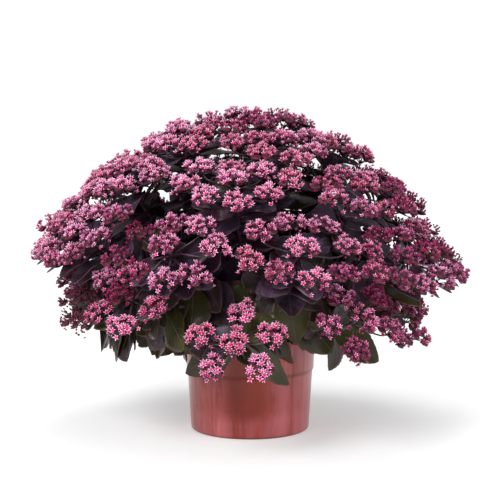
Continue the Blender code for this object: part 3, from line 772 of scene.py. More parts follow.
# a finish's material, its node tree and its shader, with the values that are the same all over
def startFinish(name, **values):
    finish = bpy.data.materials.new(name)
    finish.use_nodes = True
    shader = finish.node_tree.nodes["Principled BSDF"]
    wireAll(finish.node_tree, shader, **values)
    return finish, finish.node_tree, shader


# wires a shader's sockets, named with an underline for each space
def wireAll(tree, shader, **values):
    for key, value in values.items():
        wire(tree, shader.inputs[key.replace("_", " ")], value)


# a node group with named inputs and outputs; the builder gets its tree and the inputs' sockets
def startEffect(name, inputs, outputs):
    tree = bpy.data.node_groups.new(name, "ShaderNodeTree")
    for way, sockets in (("INPUT", inputs), ("OUTPUT", outputs)):
        for label, kind in sockets.items():
            tree.interface.new_socket(name=label, in_out=way, socket_type="NodeSocket" + kind)
    return tree, tree.nodes.new("NodeGroupInput").outputs, tree.nodes.new("NodeGroupOutput").inputs


# a node group's place in a tree, with its inputs wired
def placeEffect(tree, effect, sockets):
    made = tree.nodes.new("ShaderNodeGroup")
    made.node_tree = effect
    for key, value in sockets.items():
        wire(tree, made.inputs[key], value)
    return made.outputs


effectLook = {
    "fineTimes": 6.3,
    "fineShare": 0.35,
    "patches": (0.36, 0.66),
    "rubTimes": 5.0,
    "rubbed": (0.35, 0.75, 1.0, 0.55),
    "dulled": (0.0, 0.6, 0.34, 0.55),
}


# uneven colour: two sizes of noise darken and lighten the colour that comes in
def makeMottle():
    inputs = {"Colour": "Color", "Scale": "Float", "Strength": "Float"}
    tree, given, out = startEffect("mottle", inputs, {"Colour": "Color"})
    place = placeOf(tree)
    broad = noise(tree, place, given["Scale"], 3.0, 0.6)
    fine = noise(tree, place, calc(tree, "MULTIPLY", given["Scale"], effectLook["fineTimes"]), 2.0, 0.5)
    broad = calc(tree, "MULTIPLY", broad, 1.0 - effectLook["fineShare"])
    both = calc(tree, "ADD", broad, calc(tree, "MULTIPLY", fine, effectLook["fineShare"]))
    change = calc(tree, "MULTIPLY", calc(tree, "SUBTRACT", both, 0.5), given["Strength"])
    factor = calc(tree, "ADD", change, 1.0)
    grey = addNode(tree, "CombineColor", {0: factor, 1: factor, 2: factor}).outputs[0]
    tree.links.new(tinted(tree, 1.0, given["Colour"], grey, "MULTIPLY"), out["Colour"])
    return tree


# waxy bloom: a pale veil in patches, rubbed off in streaks, which also dulls the surface where it lies
def makeWaxBloom():
    inputs = {"Colour": "Color", "Veil": "Color", "Amount": "Float", "Scale": "Float"}
    tree, given, out = startEffect("waxBloom", inputs, {"Colour": "Color", "Roughness": "Float"})
    place = placeOf(tree)
    patches = carried(tree, noise(tree, place, given["Scale"], 4.0, 0.6, 0.4), *effectLook["patches"])
    streaks = noise(tree, place, calc(tree, "MULTIPLY", given["Scale"], effectLook["rubTimes"]), 2.0, 0.6)
    rubbed = carried(tree, streaks, *effectLook["rubbed"])
    veil = calc(tree, "MULTIPLY", calc(tree, "MULTIPLY", patches, rubbed), given["Amount"], clamp=True)
    tree.links.new(tinted(tree, veil, given["Colour"], given["Veil"]), out["Colour"])
    tree.links.new(carried(tree, veil, *effectLook["dulled"]), out["Roughness"])
    return tree


mottle = makeMottle()
waxBloom = makeWaxBloom()


# a colour made uneven by the mottle effect
def mottled(tree, base, scale, strength):
    return placeEffect(tree, mottle, {"Colour": base, "Scale": scale, "Strength": strength})["Colour"]


# In these dictionaries a row of two or four numbers is the range that a value is carried from, and to.

glazeLook = {
    "body": colour(136, 48, 32),
    "deep": colour(112, 33, 20),
    # the colour of the painted reflection
    "pale": colour(179, 93, 98),
    "footLineAndStepShadow": colour(78, 22, 16),
    "uprightStreakSize": (30.0, 30.0, 5.0),
    "broadStreakSize": (150.0, 150.0, 14.0),
    "patchScale": 11.0,
    "patches": (0.34, 0.66),
    "uprightStreakShare": 0.7,
    # the painted reflection: how its streaks are carried, and how it thins down the front and fades up from
    # the bottom
    "paintedReflection": (0.38, 0.62, 0.3, 1.0),
    "leastReflectionAt": -0.004,
    "thin": (0.014, 0.058, 0.0, 0.75),
    "lowReflection": (0.018, 0.044, 0.45, 0.0),
    # a dark line at the foot
    "foot": (0.0008, 0.0045, 0.95, 0.0),
    # painted shadow under the band's step
    "step": (0.0, 0.0052, 0.6, 0.0),
    "rough": (0.0, 1.0, 0.24, 0.42),
    "coat": (0.0, 1.0, 0.28, 0.5),
    "rippleSize": (34.0, 34.0, 9.0),
    "pinholeScale": 620.0,
    "pinholes": (0.30, 0.40),
}


# red glaze over clay, with a painted reflection: a pale veil in upright and broad streaks, thin down the
# middle of the front and strongest at the sides and near the bottom; a dark line at the foot, painted shadow
# under the step, pinholes and a gloss coat
def makeGlaze():
    look = glazeLook
    finish, tree, shader = startFinish("redGlaze", Coat_Roughness=0.06, Coat_IOR=1.5, Specular_IOR_Level=0.15)
    place = placeOf(tree)
    spot = addNode(tree, "SeparateXYZ", {"Vector": place}).outputs
    height = spot["Z"]
    uprightStreaks = noise(tree, placeOf(tree, look["uprightStreakSize"]), 1.0, 4.0, 0.6, 0.7)
    broadStreaks = noise(tree, placeOf(tree, look["broadStreakSize"]), 1.0, 3.0, 0.6, 0.3)
    broad = noise(tree, place, look["patchScale"], 2.0, 0.5)
    base = tinted(tree, carried(tree, broad, *look["patches"]), look["deep"], look["body"])
    uprightStreaks = calc(tree, "MULTIPLY", uprightStreaks, look["uprightStreakShare"])
    # painted reflection: a pale veil in upright and broad streaks
    paintedReflection = calc(tree, "ADD", uprightStreaks, calc(tree, "MULTIPLY", broadStreaks, 1.0 - look["uprightStreakShare"]))
    paintedReflection = carried(tree, paintedReflection, *look["paintedReflection"])
    # the painted reflection is thin down the middle of the front and strongest at the sides and near the
    # bottom
    aside = calc(tree, "ABSOLUTE", calc(tree, "SUBTRACT", spot["X"], look["leastReflectionAt"]))
    lowReflection = carried(tree, height, *look["lowReflection"])
    lies = calc(tree, "ADD", carried(tree, aside, *look["thin"]), lowReflection, clamp=True)
    paintedReflection = calc(tree, "MULTIPLY", paintedReflection, lies)
    base = tinted(tree, paintedReflection, base, look["pale"])
    # a dark line at the foot
    base = tinted(tree, carried(tree, height, *look["foot"]), base, look["footLineAndStepShadow"])
    # painted shadow under the band's step
    beyond = calc(tree, "ABSOLUTE", calc(tree, "SUBTRACT", height, potShape["bandHeight"]))
    base = tinted(tree, carried(tree, beyond, *look["step"]), base, look["footLineAndStepShadow"])
    ripple = bumped(tree, noise(tree, placeOf(tree, look["rippleSize"]), 1.0, 3.0, 0.5), 0.3, 0.0014)
    pinholes = carried(tree, noise(tree, place, look["pinholeScale"], 2.0, 0.5), *look["pinholes"])
    wireAll(
        tree,
        shader,
        Base_Color=mottled(tree, base, 60.0, 0.4),
        Roughness=carried(tree, paintedReflection, *look["rough"]),
        Coat_Weight=carried(tree, paintedReflection, *look["coat"]),
        Normal=bumped(tree, pinholes, 0.08, 0.0003, ripple),
        Coat_Normal=ripple,
    )
    return finish


leafLook = {
    "dark": colour(27, 14, 21),
    "wine": colour(46, 13, 28),
    "olive": colour(53, 54, 5),
    "veil": colour(102, 84, 118),
    "rib": colour(92, 70, 86),
    "rim": colour(150, 70, 104),
    "under": colour(50, 42, 32),
    "patchScale": 34.0,
    "greenPatches": (0.35, 0.62, 0.45, 1.0),
    "underShare": 0.35,
    "veins": (8.0, 2.6),
    "vein": (0.0, 0.09, 1.0, 0.0),
    "veinEnds": (0.5, 0.95, 1.0, 0.0),
    "veinShare": 0.45,
    "midrib": (0.015, 0.055, 1.0, 0.0),
    "ribShare": 0.42,
    "waxOnGreen": (0.1, 0.8, 0.6, 0.12),
    "waxScale": 26.0,
    "rimFrom": (0.86, 1.0),
    "rimPatches": (0.42, 0.68, 0.0, 0.45),
    "grainScale": 900.0,
}


# fleshy leaf: the blade layer holds the share across, the share along and the underside, and tone the
# leaf's own draws
def makeLeafFinish():
    look = leafLook
    finish, tree, shader = startFinish("purpleLeaf", Specular_IOR_Level=0.25)
    blade, tone = layerOf(tree, "blade"), layerOf(tree, "tone")
    across = calc(tree, "ABSOLUTE", blade["X"])
    base = tinted(tree, tone["X"], look["dark"], look["wine"])
    patch = noise(tree, placeOf(tree), look["patchScale"], 3.0, 0.55)
    green = calc(tree, "MULTIPLY", tone["Y"], carried(tree, patch, *look["greenPatches"]), clamp=True)
    base = tinted(tree, green, base, look["olive"])
    base = tinted(tree, calc(tree, "MULTIPLY", blade["Z"], look["underShare"]), base, look["under"])
    # side veins leave the midrib and bend towards the tip
    count, bend = look["veins"]
    bent = calc(tree, "MULTIPLY", across, bend)
    slant = calc(tree, "SUBTRACT", calc(tree, "MULTIPLY", blade["Y"], count), bent)
    vein = calc(tree, "ABSOLUTE", calc(tree, "SUBTRACT", calc(tree, "FRACT", slant), 0.5))
    ends = carried(tree, across, *look["veinEnds"])
    vein = calc(tree, "MULTIPLY", carried(tree, vein, *look["vein"]), ends)
    vein = calc(tree, "MULTIPLY", vein, look["veinShare"])
    ribs = calc(tree, "MAXIMUM", carried(tree, across, *look["midrib"]), vein)
    wax = calc(tree, "MULTIPLY", tone["Z"], carried(tree, tone["Y"], *look["waxOnGreen"]))
    sockets = {"Colour": base, "Veil": look["veil"], "Amount": wax, "Scale": look["waxScale"]}
    waxed = placeEffect(tree, waxBloom, sockets)
    base = tinted(tree, calc(tree, "MULTIPLY", ribs, look["ribShare"]), waxed["Colour"], look["rib"])
    rimmed = carried(tree, patch, *look["rimPatches"])
    rimmed = calc(tree, "MULTIPLY", carried(tree, across, *look["rimFrom"]), rimmed)
    grain = noise(tree, placeOf(tree), look["grainScale"], 2.0, 0.5)
    raised = calc(tree, "ADD", calc(tree, "MULTIPLY", ribs, -1.0), calc(tree, "MULTIPLY", grain, 0.25))
    wireAll(
        tree,
        shader,
        Base_Color=tinted(tree, rimmed, base, look["rim"]),
        Roughness=waxed["Roughness"],
        Normal=bumped(tree, raised, 0.45, 0.0009),
    )
    return finish


stalkLook = {
    "dark": colour(30, 15, 26),
    "wine": colour(57, 21, 38),
    "green": colour(62, 62, 36),
    "veil": colour(90, 80, 96),
    "patches": (0.35, 0.65),
    "greenBelow": (0.15, 0.26, 0.55, 0.0),
    "grainSize": (900.0, 900.0, 120.0),
}


# stems and rays: dark wine with a thin veil, greener near the soil, with fine lengthwise grain
def makeStalkFinish():
    look = stalkLook
    finish, tree, shader = startFinish("wineStalk", Specular_IOR_Level=0.45)
    place = placeOf(tree)
    height = addNode(tree, "SeparateXYZ", {"Vector": place}).outputs["Z"]
    patches = carried(tree, noise(tree, place, 45.0, 3.0), *look["patches"])
    base = tinted(tree, patches, look["dark"], look["wine"])
    base = tinted(tree, carried(tree, height, *look["greenBelow"]), base, look["green"])
    waxed = placeEffect(tree, waxBloom, {"Colour": base, "Veil": look["veil"], "Amount": 0.4, "Scale": 60.0})
    grain = bumped(tree, noise(tree, placeOf(tree, look["grainSize"]), 1.0), 0.3, 0.0004)
    wireAll(tree, shader, Base_Color=waxed["Colour"], Roughness=waxed["Roughness"], Normal=grain)
    return finish


petalLook = {
    "budDark": colour(60, 14, 28),
    "budTip": colour(122, 42, 68),
    "halfDeep": colour(112, 24, 58),
    "halfTip": colour(204, 102, 158),
    "openDeep": colour(192, 50, 110),
    "openTip": colour(255, 220, 244),
    "heart": colour(150, 30, 74),
    "massTip": colour(150, 46, 96),
    # the near black of the painted shade between packed buds
    "massSeamShade": colour(34, 16, 18),
    "tipFrom": (0.25, 1.0),
    "half": (0.04, 0.40),
    "open": (0.42, 0.82),
    "hue": (0.0, 1.0, 0.518, 0.482),
    "saturation": (0.0, 1.0, 1.22, 0.94),
    "value": (0.0, 1.0, 0.88, 1.12),
    "massOpen": (0.0, 0.4),
    "cellScale": 430.0,
    "seamShade": (0.16, 0.58, 1.0, 0.0),
}


# petals: the bloom layer holds how far out on the petal, how open the floret is, with painted light and shade
# in it, and its own draw
def makePetalFinish():
    look = petalLook
    finish, tree, shader = startFinish("rosePetal", Roughness=0.5, Specular_IOR_Level=0.35)
    out, openedAndLit, own = (layerOf(tree, "bloom")[axis] for axis in "XYZ")
    tip = carried(tree, out, *look["tipFrom"])
    stages = (("budDark", "budTip"), ("halfDeep", "halfTip"), ("openDeep", "openTip"))
    bud, half, flower = (tinted(tree, tip, look[deep], look[pale]) for deep, pale in stages)
    # the stage colours follow the openness, which carries painted light and shade
    base = tinted(tree, carried(tree, openedAndLit, *look["half"]), bud, half)
    base = tinted(tree, carried(tree, openedAndLit, *look["open"]), base, flower)
    sockets = {name: carried(tree, own, *look[name.lower()]) for name in ("Hue", "Saturation", "Value")}
    base = addNode(tree, "HueSaturation", {**sockets, "Color": base}).outputs["Color"]
    wireAll(tree, shader, Base_Color=mottled(tree, base, 320.0, 0.5))
    return finish


# packed buds: cells of a couple of millimetres, paler on top, and near black in the seams between as painted
# shade between the buds
def makeBudMassFinish():
    look = petalLook
    finish, tree, shader = startFinish("budMass", Roughness=0.55, Specular_IOR_Level=0.35)
    openedAndLit, own = (layerOf(tree, "bloom")[axis] for axis in "YZ")
    sockets = {"Vector": placeOf(tree), "Scale": look["cellScale"]}
    cells = addNode(tree, "TexVoronoi", sockets).outputs["Distance"]
    top = tinted(tree, carried(tree, openedAndLit, *look["massOpen"]), look["budTip"], look["massTip"])
    # near black in the seams, as painted shade between the buds
    seamShadeColour = tinted(tree, own, look["budDark"], look["massSeamShade"])
    base = tinted(tree, carried(tree, cells, *look["seamShade"]), seamShadeColour, top)
    domed = bumped(tree, calc(tree, "SUBTRACT", 1.0, cells), 0.9, 0.0012)
    wireAll(tree, shader, Base_Color=mottled(tree, base, 90.0, 0.9), Normal=domed)
    return finish


# the crimson carpels in a floret's heart
def makeHeartFinish():
    finish, tree, shader = startFinish("crimsonHeart", Roughness=0.42, Specular_IOR_Level=0.45)
    base = tinted(tree, layerOf(tree, "bloom")["Z"], petalLook["heart"], petalLook["openDeep"])
    wireAll(tree, shader, Base_Color=mottled(tree, base, 400.0, 0.5))
    return finish


soilLook = {
    "dark": colour(38, 28, 22),
    "dry": colour(92, 72, 54),
    "fibre": colour(120, 96, 70),
    "crumbScale": 260.0,
    "drier": (0.42, 0.70),
    "fibreSize": (520.0, 70.0, 300.0),
    "fibres": (0.66, 0.74),
    "fibreShare": 0.7,
}


# compost: dark, with drier crumbs on top and a few pale fibres
def makeSoilFinish():
    look = soilLook
    finish, tree, shader = startFinish("darkCompost", Roughness=0.95, Specular_IOR_Level=0.2)
    crumbs = noise(tree, placeOf(tree), look["crumbScale"], 4.0, 0.7)
    base = tinted(tree, carried(tree, crumbs, *look["drier"]), look["dark"], look["dry"])
    fibres = carried(tree, noise(tree, placeOf(tree, look["fibreSize"]), 1.0, 2.0, 0.4, 1.5), *look["fibres"])
    base = tinted(tree, calc(tree, "MULTIPLY", fibres, look["fibreShare"]), base, look["fibre"])
    wireAll(tree, shader, Base_Color=mottled(tree, base, 60.0, 0.8), Normal=bumped(tree, crumbs, 0.8, 0.002))
    return finish


redGlaze = makeGlaze()
purpleLeaf = makeLeafFinish()
wineStalk = makeStalkFinish()
rosePetal = makePetalFinish()
crimsonHeart = makeHeartFinish()
budMass = makeBudMassFinish()
darkCompost = makeSoilFinish()
print("finishes made")


# The pot


# the wall's profile as (radius, height), from the middle of the inner floor over the rim to the middle of
# the base
def potProfile():
    shape = potShape
    height, floor, band, step = (shape[name] for name in ("height", "floor", "bandHeight", "step"))
    base, above, cove = (shape[name] for name in ("baseRadius", "bandRadius", "floorRound"))
    inside, innerRim, half = base - shape["wall"], shape["rimRadius"] - shape["wall"], shape["wall"] / 2.0
    below = above - shape["bandProud"]
    turns = np.linspace(0.0, math.pi, 13)
    lip = [(innerRim + half - half * math.cos(t), height - half + half * math.sin(t)) for t in turns]
    inner = [(0.0, floor), (0.5 * base, floor), (inside - cove, floor), (inside, floor + cove)]
    rise = np.linspace(0.15, 0.93, 14)
    inner += [(inside + s * (innerRim - base + shape["wall"]), height * s) for s in rise]
    fall = np.linspace(height - 2.6 * half, band + 2.2 * step, 16)
    upper = [(above + (z - band) / (height - band) * (shape["rimRadius"] - above), z) for z in fall]
    slope = np.linspace(0.0, 1.0, 9)
    ease = slope * slope * (3.0 - 2.0 * slope)
    edge = [(above - shape["bandProud"] * e, band + step * (1.6 - 3.2 * s)) for s, e in zip(slope, ease)]
    fall = np.linspace(band - 3.0 * step, 2.4 * shape["footRound"], 20)
    lower = [(base + z / band * (below - base), z) for z in fall]
    foot = shape["footRound"]
    turns = np.linspace(0.0, 0.5 * math.pi, 8)
    corner = [(base - foot + foot * math.cos(t), foot - foot * math.sin(t)) for t in turns]
    under = [(0.75 * base, 0.0), (0.4 * base, 0.0), (0.0, 0.0)]
    return np.array(inner + lip + upper + edge + lower + corner + under)


# round holes through the pot's floor, cut by a tube for each
def boreHoles(pot):
    count = potShape["drainHoles"]
    middles = potShape["drainCircle"] * levelRing(math.tau * (np.arange(count) + 0.5) / count)
    paths = middles[:, None] + np.linspace(-0.01, 0.02, 4)[None, :, None] * upward
    skin = tubeSkins(paths, np.full(paths.shape[:2], potShape["drainRadius"]), 24)
    cutter = makePiece("drainBore", *skin, [redGlaze])
    bore = pot.modifiers.new("bore", "BOOLEAN")
    bore.operation, bore.solver, bore.object = "DIFFERENCE", "EXACT", cutter
    bpy.context.view_layer.update()
    cut = bpy.data.meshes.new_from_object(pot.evaluated_get(bpy.context.evaluated_depsgraph_get()))
    pot.modifiers.clear()
    pot.data = cut
    bpy.data.objects.remove(cutter)


# a turned skin: each profile point goes round the axis, and the wall's radius wavers a little as thrown
# clay does
def makePot():
    profile = potProfile()
    sides = potShape["around"]
    ring = levelRing(math.tau * np.arange(sides) / sides)
    body = profile[1:-1]
    skin = body[:, None, :1] * ring + body[:, None, 1:] * upward
    wavers = waves(skin * np.array((1.0, 1.0, 0.35)), potShape["waverSize"], 1)[..., None]
    free = np.clip(body[:, 1] / potShape["evenBelow"], 0.0, 1.0)[:, None, None]
    skin = skin - potShape["unevenness"] * free * (1.0 + wavers) * ring * 0.5
    poles = np.array(((0.0, 0.0, profile[0, 1]), (0.0, 0.0, profile[-1, 1])))
    points = np.vstack((skin.reshape(-1, 3), poles))
    faces = [part[:, ::-1] for part in skinFaces(len(body), sides)]
    pot = makePiece("glazedPot", points, faces, [redGlaze], "pot_glaze", ["pot"])
    boreHoles(pot)
    pot.data.set_sharp_from_angle(angle=math.radians(40.0))


compostBed = {
    "rings": 36,
    "around": 120,
    "dome": 0.004,
    "relief": 0.0016,
    "waves": ((0.5, 0.05), (0.35, 0.016), (0.25, 0.006)),
    "wall": (0.09, 0.05),
    "taper": 0.075,
    "crumbs": 260,
    "crumbSize": 0.0022,
    "crumbShares": (-1.0, -0.62, 0.05, 0.66, 1.0),
    "crumbWidths": (0.25, 0.85, 1.0, 0.7, 0.2),
}


# compost: a closed polar skin whose top is a low dome plus waves of three sizes
def bedSkin(edge):
    bed = compostBed
    rings, sides, top = bed["rings"], bed["around"], stemPlan["soilTop"]
    ring = levelRing(math.tau * np.arange(sides) / sides)
    radii = edge * np.linspace(0.0, 1.0, rings)[1:]
    flat = radii[:, None, None] * ring
    inner = 1.0 - (radii / edge)[:, None] ** 2
    relief = sum(share * waves(flat, size, k) for k, (share, size) in enumerate(bed["waves"]))
    relief = bed["relief"] * relief * np.minimum(1.0, 8.0 * inner + 0.3)
    heights = top + bed["dome"] * (2.0 * inner - 1.0) + relief
    skin = flat + heights[:, :, None] * upward
    foot = potShape["floor"] + gap
    wallHeights = np.array((top - 0.5 * bed["dome"] - 0.006, *bed["wall"], foot))
    wallRadii = edge - (top - wallHeights) * bed["taper"]
    wall = wallRadii[:, None, None] * ring + wallHeights[:, None, None] * upward
    poles = np.array(((0.0, 0.0, heights[0].mean()), (0.0, 0.0, foot)))
    points = np.vstack((skin.reshape(-1, 3), wall.reshape(-1, 3), poles))
    return points, [part[:, ::-1] for part in skinFaces(rings - 1 + len(wallRadii), sides)]


# loose crumbs on the compost: short, thick tubes of five rings, laid any way
def crumbSkins(edge):
    bed = compostBed
    rng = np.random.default_rng([seed, 50])
    count = bed["crumbs"]
    radius = 0.96 * edge * np.sqrt(rng.uniform(0.0, 1.0, count))
    spots = radius[:, None] * levelRing(rng.uniform(0.0, math.tau, count))
    spots[:, 2] = stemPlan["soilTop"] + bed["dome"] * (1.0 - 2.0 * (radius / edge) ** 2) + 0.0004
    sizes = bed["crumbSize"] * rng.uniform(0.4, 1.3, count) ** 1.5
    way = unit(rng.normal(size=(count, 3)))
    paths = spots[:, None] + sizes[:, None, None] * np.array(bed["crumbShares"])[None, :, None] * way[:, None]
    widths = np.array(bed["crumbWidths"]) * rng.uniform(0.6, 1.2, (count, 5)) * sizes[:, None]
    return tubeSkins(paths, widths, 5)


# the compost fills the pot to its edge: the inner wall's radius at the height of the top, less a gap
def makeCompost():
    shape = potShape
    share = (stemPlan["soilTop"] - shape["floor"]) / (shape["height"] - shape["rimRound"] - shape["floor"])
    low, high = shape["baseRadius"] - shape["wall"], shape["rimRadius"] - shape["wall"]
    edge = (1.0 - share) * low + share * high - 2 * gap
    points, faces = joined([bedSkin(edge), crumbSkins(edge)])
    makePiece("compostBed", points, faces, [darkCompost], "compost", ["soil"])


# Stems and leaves

stalkForm = {
    "rings": 46,
    "sides": 10,
    "swelling": 0.16,
    "swellLength": 0.004,
    "waver": 0.05,
    "waverLength": 0.011,
}


# round stems along the plan's paths, swollen by a bell curve at each leaf node
def makeStalks():
    share = np.linspace(0.0, 1.0, stalkForm["rings"])
    paths, radii = [], []
    for stem in stems:
        for path in stem["paths"]:
            length = share * path["lengths"][-1]
            paths.append(pointsAt(path, length))
            nodes = np.array([leaf["node"] for leaf in path["leaves"]] or [-1.0])
            near = np.exp(-(((length[:, None] - nodes) / stalkForm["swellLength"]) ** 2)).max(axis=1)
            waver = stalkForm["waver"] * np.sin(length / stalkForm["waverLength"] + stem["number"])
            radius = path["radii"][0] + share * (path["radii"][1] - path["radii"][0])
            radii.append(radius * (1.0 + stalkForm["swelling"] * near + waver))
    points, faces = tubeSkins(np.array(paths), np.array(radii), stalkForm["sides"])
    makePiece("stalks", points, faces, [wineStalk], "stem_and_leaf", nodeNames("stem", stems))


# teeth and sections of a blade: the leaves in pairs, the small leaves low at the front, and those elsewhere
leafForm = {
    "pairs": (8, 12),
    "low": (5, 10),
    "small": (2, 6),
    "toothDepth": 0.085,
    "toothVaried": (0.6, 0.8),
    "thickness": 0.00075,
    "stalkThickness": 0.0016,
    "stalkWidth": 0.0032,
    "widest": (0.86, 0.12),  # the power of the share along, and how much more it may be
    "roundness": 0.72,
    "blunt": 0.8,
    "cup": 0.16,
    "leastCup": 0.4,
    "groove": 0.05,
    "grooveWidth": 0.16,
    "wave": 0.07,
    "waves": 13.0,
    "phases": (6.28, 1.2),
    "sunk": 0.0004,
    "greenBelow": 0.235,
    "greenFade": 0.07,
    "green": (0.2, 1.1, 0.5, 0.9),  # low leaves' least and more; the amount on a few, and who they are
}


# shares along the blade: the stalk, then three to each tooth (valley, flank and point)
def bladeStations(teeth):
    stalk = [0.0, 0.05, 0.10, 0.14, 0.19, 0.25, 0.31] if teeth > 3 else [0.0, 0.11, 0.24]
    start, end = 0.35, 0.965
    tooth = (end - start) / teeth
    saw = [start + tooth * (k + part) for k in range(teeth) for part in (0.06, 0.55, 0.92)]
    return np.array(stalk + saw), np.array([0.0] * len(stalk) + [0.0, 0.6, 1.0] * teeth)


# half-widths of blades: a power of a sine of the share along, with blunt teeth, and no less than the stalk's
def bladeWidths(share, saw, length, broad, own):
    widest, varied = leafForm["widest"]
    inner = np.clip((share - 0.10) / 0.90, 0.0, 1.0) ** (widest + varied * own[:, :1])
    widths = broad * leafPlan["aspect"] * length * np.sin(math.pi * inner) ** leafForm["roundness"]
    least, more = leafForm["toothVaried"]
    depth = leafForm["toothDepth"] * (least + more * own[:, 1:2])
    widths = widths * (1.0 + depth * (saw - 0.5) * np.sin(math.pi * share) ** 0.5)
    widths = np.maximum(widths, leafForm["stalkWidth"] * (1.0 - 0.3 * share))
    return widths * np.clip((1.02 - share) / 0.05, 0.0, 1.0)


# blades of many leaves at once: each section is a flat oval; the sides cup up by the square of the share
# across, the midrib lies in a groove, and the rim waves. The spine falls with the square of the share along.
def bladeSkins(some, teeth, sections, key):
    form, count = leafForm, len(some)
    base, axis, side = (np.array([leaf[name] for leaf in some])[:, None] for name in ("base", "axis", "side"))
    droop, length = (np.array([leaf[name] for leaf in some])[:, None] for name in ("droop", "length"))
    broad = np.array([leaf.get("broad", 1.0) for leaf in some])[:, None]
    own = np.random.default_rng([seed, 60, key]).uniform(0.0, 1.0, (count, 6))
    share, saw = bladeStations(teeth)
    rings = len(share)
    widths = bladeWidths(share, saw, length, broad, own)
    thicker = (form["stalkThickness"] - form["thickness"]) * np.clip(1.0 - share / 0.3, 0.0, 1.0)
    thick = form["thickness"] + thicker
    along = share[None, :, None]
    spine = base + length[:, :, None] * (along * axis - droop[:, :, None] * along**2 * upward)
    heading = axis - 2.0 * droop[:, :, None] * along * upward
    normal = unit(np.cross(heading, side))[:, :, None]
    turn = math.tau * (np.arange(sections) + 0.5) / sections
    across = np.sign(np.cos(turn)) * np.abs(np.cos(turn)) ** form["blunt"]
    across = across / across.max()
    raised = form["cup"] * (form["leastCup"] + own[:, 2:3, None]) * across**2
    raised = raised - form["groove"] * np.exp(-((across / form["grooveWidth"]) ** 2))
    most, apart = form["phases"]
    phase = most * own[:, 3:4, None] + apart * np.sign(across)
    ripple = form["wave"] * np.abs(across) ** 3 * np.sin(form["waves"] * along + phase)
    height = widths[:, :, None] * (raised + ripple) + thick[None, :, None] * np.sin(turn) - form["sunk"]
    skin = spine[:, :, None] + (widths[:, :, None] * across)[..., None] * side[:, :, None]
    skin = skin + height[..., None] * normal
    tip = base[:, 0] + length * (axis[:, 0] - droop * upward)
    each = rings * sections + 2
    points = np.concatenate((skin.reshape(count, each - 2, 3), base[:, 0][:, None], tip[:, None]), axis=1)
    blade = np.zeros((count, each, 3))
    blade[:, :-2, 0] = np.tile(across, rings)
    blade[:, :-2, 1] = np.repeat(share, sections)
    blade[:, :-2, 2] = np.tile((np.sin(turn) < 0.0).astype(float), rings)
    blade[:, -1, 1] = 1.0
    low = np.clip((form["greenBelow"] - points[:, -1, 2]) / form["greenFade"], 0.0, 1.0)
    least, more, old, rare = form["green"]
    green = np.clip(low * (least + more * own[:, 4]) + old * (own[:, 4] > rare), 0.0, 1.0)
    tone = np.repeat(np.stack((own[:, 5], green, own[:, 0]), axis=1)[:, None], each, axis=1)
    layers = {"blade": blade.reshape(-1, 3), "tone": tone.reshape(-1, 3)}
    return points.reshape(-1, 3), repeated(skinFaces(rings, sections), count, each), layers


# four pieces of leaves: name, leaves, form, the key of their draws and the stems that they grow on
def makeLeaves():
    outer, inner = stems[: stemPlan["outer"]], stems[stemPlan["outer"] :]
    pairs, small = [], ([], [])
    for some in (outer, inner):
        pairs.append([leaf for stem in some for path in stem["paths"] for leaf in path["leaves"]])
    for leaf in fillLeaves:
        isLow = leaf["base"][2] < fillPlan["fineBelow"] and leaf["base"][1] < fillPlan["fineInFront"]
        small[0 if isLow else 1].append(leaf)
    for name, some, form, key, grownOn in (
        ("outerLeaves", pairs[0], "pairs", 0, outer),
        ("innerLeaves", pairs[1], "pairs", 1, inner),
        ("lowLeaves", small[0], "low", 3, stems),
        ("smallLeaves", small[1], "small", 2, stems),
    ):
        points, faces, layers = bladeSkins(some, *leafForm[form], key)
        makePiece(name, points, faces, [purpleLeaf], "stem_and_leaf", nodeNames("stem", grownOn), layers)
    print("low and small leaves:", len(small[0]), len(small[1]))


# Flower heads

headForm = {
    "forkDrop": 0.015,
    "rayRadius": 0.0013,
    "twigRadius": 0.0008,
    "stalkRadius": 0.00055,
    "overlap": (1.09, 0.07),
    "squash": 0.20,
    "floretArea": 0.0000417,
    "floretRadius": 0.0050,
    "budShare": 0.6,
    "budRadius": 0.0018,
    "budVaried": (0.75, 1.2),
    "budPoles": (1.35, -1.5),
    "budDepth": 0.0036,
    "floretDepth": 0.001,
    "domeRise": 0.0085,
    "rimFall": 0.003,
    "uneven": 0.0006,
    "lean": 0.70,
    "lobes": 5,
    "lobeVaried": 0.36,
    "lobePull": 0.42,
    "lobeReach": 0.66,
    "lobeSpread": (0.84, 1.12),
    "goldenAngle": 137.508,
    "unlevel": (0.02, 0.10),
    "stageVaried": 0.11,
    "rimLater": 0.12,
    "tone": (0.5, 0.42, 0.28),  # the middle, and how far a cluster and a floret vary
    "budStage": (0.55, -0.15, 0.14, 0.6),  # a share of the cluster's, what is added, the variation, the most
    "budUneven": 0.0011,
    "lobeRound": 0.0042,
    "lobeSize": 0.35,
    "lobeLift": 0.0024,
    "lobeDepth": 0.0085,
    "lobeLean": 1.9,
    # the way the light comes from: clusters turned to it are painted paler and more open, those turned away
    # darker
    "lightFrom": (-0.42, -0.76, 0.08),
    "leastLit": -0.25,
    "openedAndLit": (0.58, 0.44),  # facing sideways to the light, and how much more facing it, as painted light
    "openVaried": (0.10, 0.16),
    "lateBy": 0.5,
    "spread": {"low": 0.95, "middle": 0.68, "shoulder": 0.62, "crown": 0.60, "top": 0.60},
    "late": {"low": 0.30, "middle": 0.12, "shoulder": 0.05, "crown": 0.0, "top": 0.0},
    # x, y and z of each shaded place, its radius and its depth
    "shade": (
        (-0.137, -0.20, 0.268, 0.085, 1.05),
        (-0.215, -0.15, 0.190, 0.095, 0.80),
        (0.128, -0.20, 0.205, 0.095, 0.52),
        (0.300, -0.02, 0.200, 0.100, 0.30),
    ),
}


